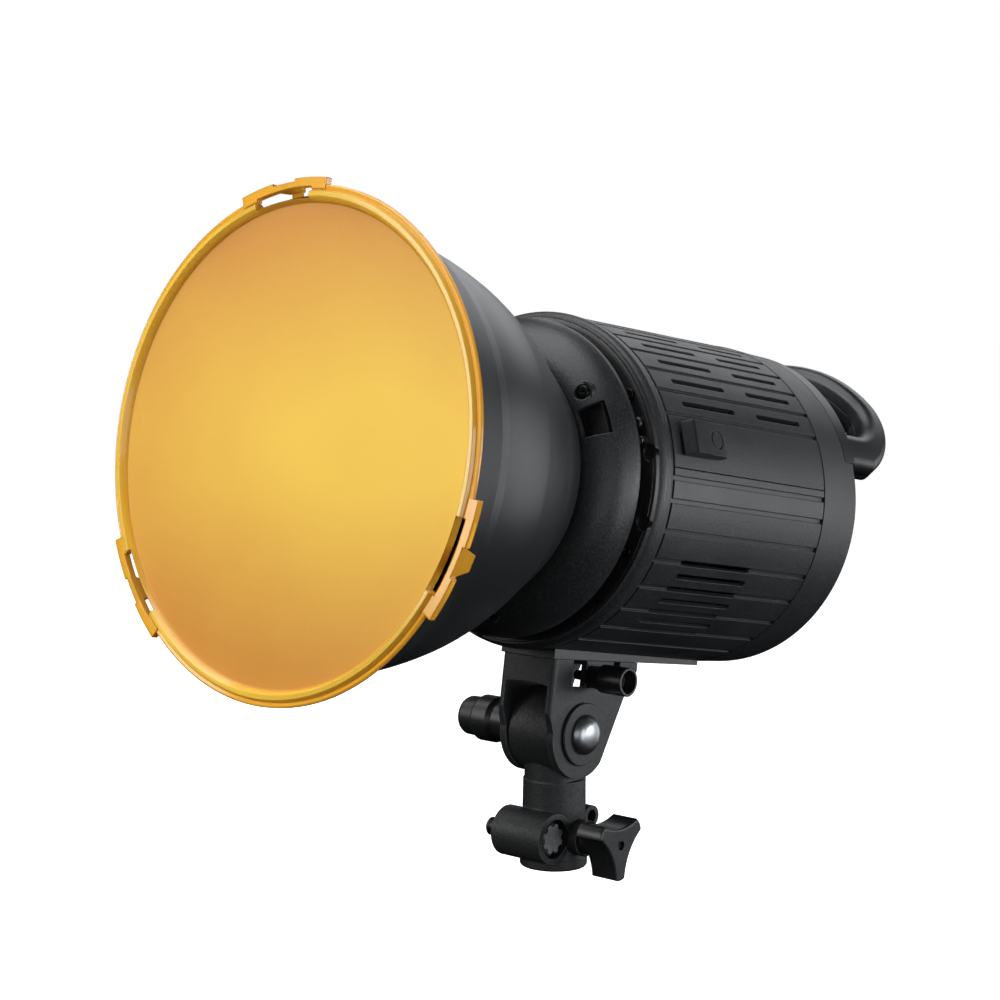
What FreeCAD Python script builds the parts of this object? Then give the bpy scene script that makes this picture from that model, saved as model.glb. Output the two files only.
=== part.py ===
import FreeCAD, Part
import math
import os
import Sketcher
from FreeCAD import Placement, Rotation, Vector

# Studio LED video light on its tilt bracket.
# Row frame: origin at the mouth of the stand socket, +Z up, the lamp points to -Y, the release
# latch and the pivot bolt's domed head are on +X.
# Lamp pieces are drawn in the lamp's own frame: Y runs back along the lamp's axis from the plane of
# the filter's bright ring, X is lateral and Z is up from the axis. One placement then tips them all
# back about the tilt pivot by the angle at which the lamp rests.

doc = FreeCAD.newDocument("led_video_light")
sheet = doc.addObject("Spreadsheet::Sheet", "Sizes")
nodes = {}


# Driving dimensions, in millimetres and degrees
SIZES = {
    # attitude and the tilt pivot
    "rest_tilt": 8.2,
    "pivot_height": 56.0,
    "pivot_depth": 168.5,
    "pivot_drop": 100.0,
    # filter and reflector
    "ring_radius": 89.0,
    "filter_radius": 92.2,
    "filter_thick": 1.5,
    "flange_thick": 1.2,
    "clip_radius": 94.8,
    "clip_depth": 8.4,
    "rim_radius": 89.2,
    "rim_depth": 4.2,
    "bowl_wall": 1.2,
    "neck_radius": 49.6,
    "neck_depth": 106.0,
    "flare_depth": 22.0,
    "flare_radius": 83.0,
    "collar_radius": 63.4,
    "collar_rear": 125.0,
    "collar_wall": 2.2,
    "lug_radius": 54.5,
    "sleeve_radius": 43.2,
    # lamp body
    "seam_front": 141.6,
    "seam_rear": 245.0,
    "cap_rear": 272.4,
    "front_radius": 67.2,
    "rear_radius": 69.2,
    "bezel_front": 131.6,
    "bezel_inner": 64.7,
    "mount_front": 131.2,
    "mount_floor": 132.6,
    "bezel_radius": 67.5,
    "cover_wall": 2.5,
    "cover_split": 9.3,
    "upper_pitch": 9.07,
    "lower_pitch": 10.17,
    "groove_wide": 2.0,
    "groove_deep": 1.0,
    "slot_wide": 2.4,
    "panel_radius": 58.0,
    "panel_mouth": 55.0,
    "panel_front": 266.0,
    # inner works
    "sink_radius": 44.0,
    "fan_size": 80.0,
    "fan_front": 200.0,
    "fan_depth": 25.0,
    # handle
    "grip_outer": 69.0,
    "grip_inner": 53.5,
    "grip_rear": 317.0,
    "grip_bar": 12.0,
    "grip_foot": 31.5,
    "grip_mouth": 13.3,
    "grip_corner": 39.0,
    "grip_bend": 21.0,
    # bracket
    "yoke_half": 14.0,
    "yoke_sheet": 3.0,
    "yoke_top": 70.2,
    "rail_wide": 28.0,
    "yoke_nose": 18.3,
    "bolt_radius": 4.0,
    "running_gap": 0.06,
    "barrel_radius": 17.4,
    "barrel_half": 10.7,
    "disc_radius": 15.5,
    "disc_seat": 9.6,
    "tube_radius": 12.9,
    "shoulder_height": 36.2,
    "socket_radius": 8.05,
    "socket_deep": 36.0,
    "clamp_height": 13.5,
}


class Size:
    """A length or angle that knows its value and the expression that ties it to the sheet."""

    def __init__(self, value, text):
        self.value = value
        self.text = text

    def __add__(self, other):
        return combine(self, other, "+")

    def __radd__(self, other):
        return combine(size_of(other), self, "+")

    def __sub__(self, other):
        return combine(self, other, "-")

    def __rsub__(self, other):
        return combine(size_of(other), self, "-")

    def __mul__(self, other):
        return combine(self, other, "*")

    def __rmul__(self, other):
        return combine(size_of(other), self, "*")

    def __neg__(self):
        return combine(size_of(-1), self, "*")


def size_of(number):
    """Wraps a plain number, so that it can be mixed with sheet values."""
    if isinstance(number, Size):
        return number
    return Size(float(number), "(%g)" % number)


def combine(left, right, sign):
    left = size_of(left)
    right = size_of(right)
    results = {
        "+": left.value + right.value,
        "-": left.value - right.value,
        "*": left.value * right.value,
    }
    return Size(results[sign], "(%s %s %s)" % (left.text, sign, right.text))


class Sheet:
    """Reads the driving dimensions by name as Size objects."""

    def __getattr__(self, name):
        return Size(SIZES[name], "Sizes." + name)


S = Sheet()

for row, (alias, number) in enumerate(SIZES.items(), start=1):
    sheet.set("A%d" % row, alias)
    sheet.set("B%d" % row, "%g" % number)
    sheet.setAlias("B%d" % row, alias)
doc.recompute()


# Placement of everything that tilts with the lamp
def lamp_placement():
    turn = Rotation(Vector(1, 0, 0), -SIZES["rest_tilt"])
    pivot = Vector(0, SIZES["pivot_depth"], -SIZES["pivot_drop"])
    base = Vector(0, 0, SIZES["pivot_height"]) - turn.multVec(pivot)
    return Placement(base, turn)


LAMP = lamp_placement()
STAND = Placement()


# Small tools for bound values
def bind(thing, name, amount):
    """Sets a property from a number or a Size, and ties a Size to the sheet."""
    amount = size_of(amount)
    setattr(thing, name, amount.value)
    if "Sizes." in amount.text:
        thing.setExpression(name, amount.text)


def finish_node(label, thing, frame):
    """Registers a finished piece under its own label and puts it in its place."""
    thing.Label = label
    thing.Placement = frame.multiply(thing.Placement)
    nodes[label] = thing
    return thing


# Sketches
def new_body(label):
    body = doc.addObject("PartDesign::Body", label)
    body.Label = label
    return body


def origin_item(body, role):
    return [item for item in body.Origin.OriginFeatures if item.Role == role][0]


def new_sketch(body, role, shift=0.0, spin=0.0):
    """A sketch on one of the body's origin planes, shifted along its normal and spun about Y.

    XY sketches read (x, y), XZ sketches (x, z) and YZ sketches (y, z). The normal of XZ is -Y.
    A positive spin, in degrees, lifts +X towards the top.
    """
    drawing = body.newObject("Sketcher::SketchObject", "Sketch")
    drawing.AttachmentSupport = [(origin_item(body, role), "")]
    drawing.MapMode = "FlatFace"
    axis_y = {"XY_Plane": Vector(0, -1, 0), "YZ_Plane": Vector(-1, 0, 0), "XZ_Plane": Vector(0, 0, 1)}
    drawing.AttachmentOffset = Placement(Vector(0, 0, 0), Rotation(axis_y[role], spin)).multiply(
        Placement(Vector(0, 0, size_of(shift).value), Rotation()))
    return drawing


def pin(drawing, index, end, x, y):
    """Ties one end of one line or arc to its two bound coordinates."""
    for kind, amount in (("DistanceX", size_of(x)), ("DistanceY", size_of(y))):
        number = drawing.addConstraint(Sketcher.Constraint(kind, -1, 1, index, end, amount.value))
        if "Sizes." in amount.text:
            drawing.setExpression("Constraints[%d]" % number, amount.text)


def arc_between(start, end, radius):
    """The short arc from start to end: it bulges to the right of its travel when radius is positive."""
    chord = end - start
    half = chord.Length / 2
    rise = math.sqrt(max(radius * radius - half * half, 0.0))
    left = Vector(-chord.y, chord.x, 0).normalize()
    turns_left = radius > 0
    centre = (start + end) * 0.5 + left * (rise if turns_left else -rise)
    circle = Part.Circle(centre, Vector(0, 0, 1), abs(radius))
    first, last = (start, end) if turns_left else (end, start)
    from_angle = math.atan2(first.y - centre.y, first.x - centre.x)
    to_angle = math.atan2(last.y - centre.y, last.x - centre.x)
    return Part.ArcOfCircle(circle, from_angle, to_angle), turns_left


def outline(drawing, points):
    """A closed outline. A point (x, y) is reached by a line, and (x, y, radius) by an arc."""
    places = [Vector(size_of(p[0]).value, size_of(p[1]).value, 0) for p in points]
    ends = []
    first = drawing.GeometryCount
    for index in range(len(points)):
        target = (index + 1) % len(points)
        if len(points[target]) == 3:
            curve, forward = arc_between(places[index], places[target], points[target][2])
        else:
            curve, forward = Part.LineSegment(places[index], places[target]), True
        drawing.addGeometry(curve, False)
        ends.append((1, 2) if forward else (2, 1))
    for index in range(len(points)):
        target = (index + 1) % len(points)
        drawing.addConstraint(Sketcher.Constraint(
            "Coincident", first + index, ends[index][1], first + target, ends[target][0]))
        pin(drawing, first + index, ends[index][0], points[index][0], points[index][1])
        if len(points[target]) == 3:
            drawing.addConstraint(Sketcher.Constraint(
                "Radius", first + index, abs(points[target][2])))
    return drawing


def round_hole(drawing, x, y, radius):
    """A full circle at a bound place."""
    radius = size_of(radius)
    spot = Vector(size_of(x).value, size_of(y).value, 0)
    index = drawing.addGeometry(Part.Circle(spot, Vector(0, 0, 1), radius.value), False)
    pin(drawing, index, 3, x, y)
    number = drawing.addConstraint(Sketcher.Constraint("Radius", index, radius.value))
    if "Sizes." in radius.text:
        drawing.setExpression("Constraints[%d]" % number, radius.text)


def rectangle(drawing, low_x, low_y, high_x, high_y):
    return outline(drawing, [(low_x, low_y), (high_x, low_y), (high_x, high_y), (low_x, high_y)])


# Features
def revolve(body, drawing):
    feature = body.newObject("PartDesign::Revolution", "Turned")
    feature.Profile = drawing
    feature.ReferenceAxis = (drawing, ["H_Axis"])
    feature.Angle = 360
    return feature


def turned(label, points, frame=LAMP):
    """A piece turned about the lamp's axis from an outline of (depth, radius) points."""
    body = new_body(label)
    revolve(body, outline(new_sketch(body, "YZ_Plane"), points))
    finish_node(label, body, frame)
    return body


def pad(body, drawing, length, both_ways=False, backwards=False):
    feature = body.newObject("PartDesign::Pad", "Pad")
    feature.Profile = drawing
    bind(feature, "Length", length)
    feature.Midplane = both_ways
    feature.Reversed = backwards
    return feature


def pocket(body, drawing, length, both_ways=False, backwards=False):
    """Cuts the outline out of the body. The cut has to remove material, or the build stops."""
    doc.recompute()
    before = body.Shape.Volume
    feature = body.newObject("PartDesign::Pocket", "Pocket")
    feature.Profile = drawing
    bind(feature, "Length", length)
    feature.Midplane = both_ways
    feature.Reversed = backwards
    doc.recompute()
    if not body.Shape.Volume < before - 0.01:
        raise RuntimeError("a cut in %s removes nothing" % body.Label)
    return feature


def pattern(body, feature, count, angle, backwards=False):
    """Repeats a feature about the body's own Y axis over an angle."""
    repeat = body.newObject("PartDesign::PolarPattern", "Repeat")
    repeat.Originals = [feature]
    repeat.Axis = (origin_item(body, "Y_Axis"), [""])
    repeat.Reversed = backwards
    bind(repeat, "Angle", angle)
    repeat.Occurrences = count
    body.Tip = repeat
    doc.recompute()
    return repeat


# Primitives: each is placed by its start point, with its length along one axis
AXES = {
    "x": Rotation(Vector(0, 1, 0), 90),
    "y": Rotation(Vector(1, 0, 0), -90),
    "z": Rotation(),
}


def place_of(x, y, z):
    return Vector(size_of(x).value, size_of(y).value, size_of(z).value)


def rod(axis, radius, length, x=0, y=0, z=0):
    thing = doc.addObject("Part::Cylinder", "Rod")
    bind(thing, "Radius", radius)
    bind(thing, "Height", length)
    thing.Placement = Placement(place_of(x, y, z), AXES[axis])
    return thing


def taper(axis, radius_start, radius_end, length, x=0, y=0, z=0):
    thing = doc.addObject("Part::Cone", "Taper")
    bind(thing, "Radius1", radius_start)
    bind(thing, "Radius2", radius_end)
    bind(thing, "Height", length)
    thing.Placement = Placement(place_of(x, y, z), AXES[axis])
    return thing


def block(wide, deep, high, x=0, y=0, z=0):
    """A box that is centred on x, and starts at y and z."""
    thing = doc.addObject("Part::Box", "Block")
    bind(thing, "Length", wide)
    bind(thing, "Width", deep)
    bind(thing, "Height", high)
    thing.Placement = Placement(place_of(size_of(x) - size_of(wide) * 0.5, y, z), Rotation())
    return thing


def turn_about_axis(thing, degrees):
    """Carries a piece round the lamp's axis: positive degrees lift +X towards the top."""
    thing.Placement = Placement(Vector(), Rotation(Vector(0, 1, 0), -degrees)).multiply(
        thing.Placement)
    return thing


def cut(base, tool):
    thing = doc.addObject("Part::Cut", "Cut")
    thing.Base = base
    thing.Tool = tool
    return thing


def common(base, tool):
    """What two pieces have in common."""
    thing = doc.addObject("Part::Common", "Common")
    thing.Base = base
    thing.Tool = tool
    return thing


def join(parts):
    thing = doc.addObject("Part::MultiFuse", "Join")
    thing.Shapes = parts
    thing.Refine = True
    return thing


def group(parts):
    """Separate solids that share a node."""
    thing = doc.addObject("Part::Compound", "Group")
    thing.Links = parts
    return thing


def rounded(base, radius, choose):
    """Rounds the edges whose middle point the choice accepts."""
    doc.recompute()
    numbers = []
    for number, edge in enumerate(base.Shape.Edges, start=1):
        middle = edge.valueAt((edge.FirstParameter + edge.LastParameter) / 2)
        if choose(middle, edge):
            numbers.append((number, radius, radius))
    thing = doc.addObject("Part::Fillet", "Rounded")
    thing.Base = base
    thing.Edges = numbers
    doc.recompute()
    return thing


def screw(axis, head_radius, head_high, shank_radius, shank_long, x, y, z, outwards):
    """A pan-head screw. Its head sits outwards of (x, y, z), where +1 is along the axis."""
    step = {"x": Vector(1, 0, 0), "y": Vector(0, 1, 0), "z": Vector(0, 0, 1)}[axis]
    seat = Vector(x, y, z)
    head_from = seat if outwards > 0 else seat - step * head_high
    shank_from = seat - step * shank_long if outwards > 0 else seat
    head = rod(axis, head_radius, head_high, head_from.x, head_from.y, head_from.z)
    shank = rod(axis, shank_radius, shank_long, shank_from.x, shank_from.y, shank_from.z)
    recess_from = seat + step * (head_high - 1.0) if outwards > 0 else seat - step * head_high
    recess = rod(axis, head_radius * 0.45, 1.0, recess_from.x, recess_from.y, recess_from.z)
    return cut(join([head, shank]), recess)


def on_circle(radius, degrees):
    return radius * math.cos(math.radians(degrees)), radius * math.sin(math.radians(degrees))


# Reflector and filter
CLIP_TURNS = (98.5, -21.5, -141.5)
COLLAR_SCREW_TURNS = (38.5, 158.5, 278.5)


def sector(drawing, inner, outer, half_angle):
    """A ring sector about the top of the lamp's axis."""
    inner = size_of(inner)
    outer = size_of(outer)
    inner_x, inner_y = on_circle(inner.value, 90 - half_angle)
    outer_x, outer_y = on_circle(outer.value, 90 - half_angle)
    return outline(drawing, [
        (-inner_x, inner_y), (inner_x, inner_y, -inner.value),
        (outer_x, outer_y), (-outer_x, outer_y, outer.value)])


def make_filter():
    """Frosted disc with a bead and a thin flange, and three spring clips over the bowl's rim."""
    body = new_body("diffusion_filter")
    face = 2.0
    back = S.filter_thick + face
    outer = S.filter_radius
    bead = S.ring_radius
    front = 0.6
    revolve(body, outline(new_sketch(body, "YZ_Plane"), [
        (face, 0), (face, bead - 3.2), (-0.6, bead - 1.2), (-0.6, bead + 0.5), (1.0, bead + 1.2),
        (front, outer - 0.6), (front + 0.4, outer), (S.flange_thick + front, outer),
        (S.flange_thick + front, bead + 1.6), (back, bead + 0.4), (back, 0)]))
    for turn in CLIP_TURNS:
        make_clip(body, turn - 90)
    finish_node("diffusion_filter", body, LAMP)


CLIP_FRONT = 0.4
CLIP_BACK = 3.0


def make_clip(body, spin):
    """One clip: a band bridging a window in the bead, and a tapered hook from its middle."""
    band = sector(new_sketch(body, "XZ_Plane", -CLIP_BACK, spin), S.filter_radius - 1.6,
                  S.clip_radius, 13.2)
    pad(body, band, CLIP_BACK - CLIP_FRONT)
    window = sector(new_sketch(body, "XZ_Plane", 3.0, spin), S.ring_radius - 1.7,
                    S.filter_radius - 0.7, 8.8)
    pocket(body, window, 14.0)
    recess = sector(new_sketch(body, "XZ_Plane", 3.0, spin), S.clip_radius - 1.0,
                    S.clip_radius + 2.0, 3.4)
    pocket(body, recess, 14.0)
    tab = outline(new_sketch(body, "XY_Plane", S.filter_radius - 0.6, spin), [
        (-5.4, CLIP_BACK - 1.0), (5.4, CLIP_BACK - 1.0), (3.0, S.clip_depth), (-3.0, S.clip_depth)])
    pad(body, tab, 2.0)
    lip = rectangle(new_sketch(body, "XY_Plane", S.rim_radius + 0.4, spin), -2.4,
                    S.clip_depth - 1.4, 2.4, S.clip_depth - 0.2)
    pad(body, lip, 2.6)


def make_bowl():
    """Spun bowl: flared lip with a step line behind it, domed flank and flat neck flange."""
    wall = S.bowl_wall
    rim = S.rim_depth
    edge = S.rim_radius
    lip = S.flare_depth
    lip_radius = S.flare_radius
    neck = S.neck_radius
    deep = S.neck_depth
    turned("reflector_bowl", [
        (rim, edge - 0.8), (rim + 0.8, edge), (lip, lip_radius), (lip + 0.3, lip_radius - 0.4),
        (lip + 6.2, lip_radius - 1.9), (58.0, 73.9, -170.0), (87.0, 59.9, -160.0), (101.0, 52.4),
        (101.4, 51.7), (deep, neck),
        (deep + 1.6, neck - 1.2), (deep + 1.6, S.sleeve_radius + 0.3),
        (deep + 0.4, S.sleeve_radius + 0.3), (deep + 0.4, neck - 1.9), (deep - 0.6, neck - 1.4),
        (86.4, 58.8), (57.5, 72.75, 160.0), (lip + 6.0, lip_radius - 1.9 - wall, 170.0),
        (lip, lip_radius - 0.4 - wall), (rim, edge - 0.2 - wall)])


def make_collar():
    """Bulging collar with a window on the latch side and three screw recesses."""
    body = new_body("reflector_collar")
    rear = S.collar_rear
    wall = S.collar_wall
    front = 109.5
    revolve(body, outline(new_sketch(body, "YZ_Plane"), [
        (front, S.sleeve_radius + 0.3), (front, 47.0), (rear - 2.0, S.collar_radius, -17.5),
        (rear, S.collar_radius), (rear, S.collar_radius - wall),
        (rear - 1.9, S.collar_radius - wall), (front + wall, 47.2, 15.3),
        (front + wall, S.sleeve_radius + 0.3)]))
    boss = new_sketch(body, "XZ_Plane", -116.3)
    for turn in COLLAR_SCREW_TURNS:
        x, z = on_circle(53.8, turn)
        round_hole(boss, x, z, 4.4)
    pad(body, boss, 4.1)
    recess = new_sketch(body, "XZ_Plane", -105.0)
    hole = new_sketch(body, "XZ_Plane", -105.0)
    for turn in COLLAR_SCREW_TURNS:
        x, z = on_circle(53.8, turn)
        round_hole(recess, x, z, 3.1)
        round_hole(hole, x, z, 1.6)
    pocket(body, recess, 7.6)
    pocket(body, hole, 14.0)
    window = new_sketch(body, "XZ_Plane", -105.0, 25.5 - 90)
    sector(window, 48.6, 59.0, 6.5)
    pocket(body, window, 14.0)
    finish_node("reflector_collar", body, LAMP)


def make_bayonet():
    """Bayonet ring: sleeve through the neck, screw flange and three lugs."""
    body = new_body("bayonet_ring")
    sleeve = S.sleeve_radius
    revolve(body, outline(new_sketch(body, "YZ_Plane"), [
        (104.0, sleeve - 2.0), (104.0, sleeve), (116.4, sleeve), (116.4, 56.2), (118.0, 56.2),
        (118.0, sleeve), (131.8, sleeve), (131.8, sleeve - 2.0)]))
    lug = pad(body, sector(new_sketch(body, "XZ_Plane", -131.8), sleeve - 0.5, S.lug_radius, 17.0),
              1.2)
    pattern(body, lug, 3, 240)
    holes = new_sketch(body, "XZ_Plane", -118.6)
    for turn in COLLAR_SCREW_TURNS:
        x, z = on_circle(53.8, turn)
        round_hole(holes, x, z, 1.5)
    pocket(body, holes, 4.0, backwards=True)
    finish_node("bayonet_ring", body, LAMP)


def make_collar_screws():
    screws = []
    for turn in COLLAR_SCREW_TURNS:
        x, z = on_circle(53.8, turn)
        screws.append(screw("y", 2.7, 1.4, 1.45, 6.0, x, 112.65, z, -1))
    finish_node("collar_screws", group(screws), LAMP)


# Front of the lamp
LATCH_TURN = 17.7
LOCK_PIN_RADIUS = 1.42


def lock_pin_hole(body):
    """Running hole for the lock pin through a front ring."""
    drawing = new_sketch(body, "XZ_Plane", -128.0)
    x, z = on_circle(59.6, LATCH_TURN)
    round_hole(drawing, x, z, S.running_gap + LOCK_PIN_RADIUS)
    pocket(body, drawing, 14.0)


LIP_GAPS = (60.0, 180.0, 300.0)
NOTCH_TURNS = (12.5, -12.0, 102.0, 150.0, 222.0, 258.0)


def cut_notches(body):
    """Round bites that run through the mount ring's sleeve and the bezel's edge."""
    bites = new_sketch(body, "XZ_Plane", -128.0)
    for turn in NOTCH_TURNS:
        x, z = on_circle(62.6, turn)
        round_hole(bites, x, z, 3.4)
    pocket(body, bites, S.mount_floor - 127.0)


def make_bezel():
    """Bezel: thin front edge, valley and bead outside, and the floor that carries the mount ring."""
    body = new_body("front_bezel")
    front = S.bezel_front
    crest = S.bezel_radius
    inner = S.bezel_inner
    rear = S.seam_front - 0.3
    floor = 134.6
    revolve(body, outline(new_sketch(body, "YZ_Plane"), [
        (front, inner), (front, inner + 1.1), (front + 1.8, inner + 1.3), (front + 5.8, crest, -3.6),
        (front + 7.4, crest), (rear, crest - 0.7), (rear, 60.5), (138.0, 60.5), (138.0, 45.0),
        (floor, 45.0), (floor, inner)]))
    lock_pin_hole(body)
    cut_notches(body)
    finish_node("front_bezel", body, LAMP)


MOUNT_SCREW_TURNS = (36.0, 96.0, 156.0, 216.0, 276.0, 336.0)
MOUNT_SCREW_REACH = 60.1
STUD_TURN = 24.0


def make_mount_ring():
    """Receiving ring: notched sleeve, base with a stud, and three lips in front of the lug track."""
    body = new_body("mount_ring")
    front = S.mount_front
    floor = S.mount_floor
    back = floor + 1.7
    sleeve = S.bezel_inner - 0.1
    revolve(body, outline(new_sketch(body, "YZ_Plane"), [
        (front, sleeve - 1.6), (front, sleeve), (back, sleeve), (back, 47.0), (floor, 47.0),
        (floor, 55.6), (130.2, 55.6), (130.2, 50.6), (128.6, 50.6), (128.6, 57.4), (floor, 57.4),
        (floor, sleeve - 1.6)]))
    for turn in LIP_GAPS:
        gap = sector(new_sketch(body, "XZ_Plane", -128.0, turn - 90), 49.0, 55.6, 20.0)
        pocket(body, gap, 4.4)
    cut_notches(body)
    lock_pin_hole(body)
    stud = new_sketch(body, "XZ_Plane", -(floor + 0.5))
    x, z = on_circle(MOUNT_SCREW_REACH, STUD_TURN)
    round_hole(stud, x, z, 2.3)
    pad(body, stud, 3.4)
    fillet(body, 1.0, lambda middle, edge: middle.y < 129.8 and edge.Length < 16.0
           and math.hypot(middle.x, middle.z) > 57.6)
    finish_node("mount_ring", body, LAMP)


def make_mount_screws():
    screws = []
    for turn in MOUNT_SCREW_TURNS:
        x, z = on_circle(MOUNT_SCREW_REACH, turn)
        screws.append(screw("y", 2.3, 1.3, 0.9, 4.6, x, SIZES["mount_floor"], z, -1))
    finish_node("mount_ring_screws", group(screws), LAMP)


# Body covers, cap and panel
def cover_blank(body):
    """A slightly flared tube between the two seams."""
    front = S.seam_front + 0.2
    rear = S.seam_rear - 0.2
    wall = S.cover_wall
    revolve(body, outline(new_sketch(body, "YZ_Plane"), [
        (front, S.front_radius), (rear, S.rear_radius), (rear, S.rear_radius - wall),
        (front, S.front_radius - wall)]))


def groove(body, turn):
    """One groove along the cover, at a turn counted from the top."""
    deep = S.groove_deep
    side = outline(new_sketch(body, "YZ_Plane", 0.0, turn), [
        (S.seam_front - 1.0, S.front_radius - deep), (S.seam_rear + 1.0, S.rear_radius - deep),
        (S.seam_rear + 1.0, 75.0), (S.seam_front - 1.0, 75.0)])
    return pocket(body, side, S.groove_wide, both_ways=True)


def pill(drawing, start, end, wide):
    """A long hole with round ends, centred on x."""
    half = wide * 0.5
    return outline(drawing, [
        (-half, start + half), (half, start + half, half * 1.02), (half, end - half),
        (-half, end - half, half * 1.02)])


def slots(body, turn, spans):
    """Cooling slots through the wall, one for each span of depths."""
    drawing = new_sketch(body, "XY_Plane", 0.0, turn)
    for start, end in spans:
        pill(drawing, start, end, SIZES["slot_wide"])
    return pocket(body, drawing, 80.0, backwards=True)


DRIVER_LEVEL = -56.6


def make_upper_cover():
    """Upper cover: fifteen grooves, a double row of slots, and the latch's slot."""
    body = new_body("upper_cover")
    cover_blank(body)
    pocket(body, rectangle(new_sketch(body, "XZ_Plane", -130.0), -80, -80, 80,
                           S.cover_split + 0.15), 130.0)
    crown = groove(body, 0.0)
    pattern(body, crown, 8, S.upper_pitch * 7)
    pattern(body, crown, 8, S.upper_pitch * 7, backwards=True)
    first = slots(body, -SIZES["upper_pitch"] / 2, ((153.6, 189.2), (203.8, 235.8)))
    pattern(body, first, 7, S.upper_pitch * 6)
    pattern(body, first, 8, S.upper_pitch * 7, backwards=True)
    latch_way = new_sketch(body, "XY_Plane", 0.0, LATCH_TURN - 90)
    pocket(body, rectangle(latch_way, -2.3, 147.0, 2.3, 166.0), 80.0, backwards=True)
    finish_node("upper_cover", body, LAMP)


def make_lower_cover():
    """Lower cover: grooves and single slots on both flanks, and a strip line near the split."""
    body = new_body("lower_cover")
    cover_blank(body)
    pocket(body, rectangle(new_sketch(body, "XZ_Plane", -130.0), -80, S.cover_split - 0.15,
                           80, 80), 130.0)
    first_turn = 25.9
    pitch = SIZES["lower_pitch"]
    for side, backwards in ((1, True), (-1, False)):
        near = groove(body, -180 + side * first_turn)
        pattern(body, near, 7, S.lower_pitch * 6, backwards)
        groove(body, -180 + side * 94.5)
        opening = slots(body, -180 + side * (first_turn + pitch), ((159.3, 205.8),))
        pattern(body, opening, 7, S.lower_pitch * 3, backwards)
    posts = new_sketch(body, "XY_Plane", DRIVER_LEVEL - 0.1)
    for x in (-22.0, 22.0):
        for y in (156.0, 231.0):
            round_hole(posts, x, y, 2.6)
    pad(body, posts, 5.6, backwards=True)
    finish_node("lower_cover", body, LAMP)


# The handle's foot reaches forward over the cap, in a notch between its two ends
FOOT_FRONT = 264.6
FOOT_INNER = 66.2
FOOT_HALF_ANGLE = 70.3


def make_rear_cap():
    """Rear cap: plain band with a notch for the handle, rounded rear edge and the panel's rim."""
    body = new_body("rear_cap")
    rear = S.cap_rear
    front = S.seam_rear + 0.2
    outer = S.rear_radius
    revolve(body, outline(new_sketch(body, "YZ_Plane"), [
        (front, outer + 0.2), (rear - 2.4, outer - 0.4), (rear, outer - 2.8, -2.5),
        (rear, S.panel_mouth + 1.0), (rear - 1.0, S.panel_mouth), (rear - 2.6, S.panel_mouth),
        (rear - 2.6, outer - 3.2), (front, outer - 2.4)]))
    notch = sector(new_sketch(body, "XZ_Plane", -(FOOT_FRONT - 0.2)), FOOT_INNER - 0.3, 74.0,
                   FOOT_HALF_ANGLE + 0.2)
    pocket(body, notch, 12.0)
    finish_node("rear_cap", body, LAMP)


# Places of the controls on the rear panel, as (x, z) from the lamp's axis
DISPLAY_SPOT = (0.0, 27.0)
BRIGHTNESS_SPOT = (25.0, -2.0)
CHANNEL_SPOT = (-25.0, -2.0)
BUTTON_SPOTS = ((-9.5, 8.0), (0.0, 8.0), (9.5, 8.0))
ROCKER_SPOT = (-22.0, -31.0)
INLET_SPOT = (10.0, -33.0)
VENT_LEVELS = (-2.0, -6.5, -11.0, -15.5)


def make_rear_panel():
    """Flat panel behind the cap's rim, with an opening for each control and four vents."""
    body = new_body("rear_panel")
    front = S.panel_front
    revolve(body, outline(new_sketch(body, "YZ_Plane"), [
        (front, 0), (front, S.panel_radius), (front + 3.4, S.panel_radius), (front + 3.4, 0)]))
    openings = new_sketch(body, "XZ_Plane", -260.0)
    for (x, z), wide, high in ((DISPLAY_SPOT, 44.0, 20.0), (ROCKER_SPOT, 13.4, 19.4),
                               (INLET_SPOT, 27.4, 20.4)):
        rectangle(openings, x - wide / 2, z - high / 2, x + wide / 2, z + high / 2)
    for x, z in (BRIGHTNESS_SPOT, CHANNEL_SPOT):
        round_hole(openings, x, z, 3.6)
    for x, z in BUTTON_SPOTS:
        round_hole(openings, x, z, 3.3)
    for level in VENT_LEVELS:
        rectangle(openings, -11.0, level - 1.0, 11.0, level + 1.0)
    pocket(body, openings, 20.0)
    finish_node("rear_panel", body, LAMP)
    screws = []
    for turn in (10.0, 75.0, 105.0, 170.0, 215.0, 325.0):
        x, z = on_circle(51.0, turn)
        screws.append(screw("y", 2.4, 1.3, 1.3, 7.0, x, 269.5, z, 1))
    finish_node("panel_screws", group(screws), LAMP)


def make_display():
    x, z = DISPLAY_SPOT
    window = block(43.6, 2.6, 19.6, x, 267.4, z - 9.8)
    finish_node("display_window", window, LAMP)
    module = join([block(46.0, 6.6, 23.0, x, 259.0, z - 11.5), block(40.0, 1.4, 16.0, x, 265.5, z - 8.0)])
    finish_node("display_module", module, LAMP)
    board = block(66.0, 1.6, 46.0, 0.0, 257.2, -7.0)
    openings = [rod("y", 3.4, 4.0, spot[0], 256.0, spot[1]) for spot in (BRIGHTNESS_SPOT, CHANNEL_SPOT)]
    switches = [block(6.0, 4.4, 6.0, spot[0], 258.7, spot[1] - 3.0) for spot in BUTTON_SPOTS]
    finish_node("control_board", join([cut(board, join(openings))] + switches), LAMP)


def shifted(x, z):
    """The lamp's placement, moved to a control's own axis."""
    return LAMP.multiply(Placement(Vector(x, 0, z), Rotation()))


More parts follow.
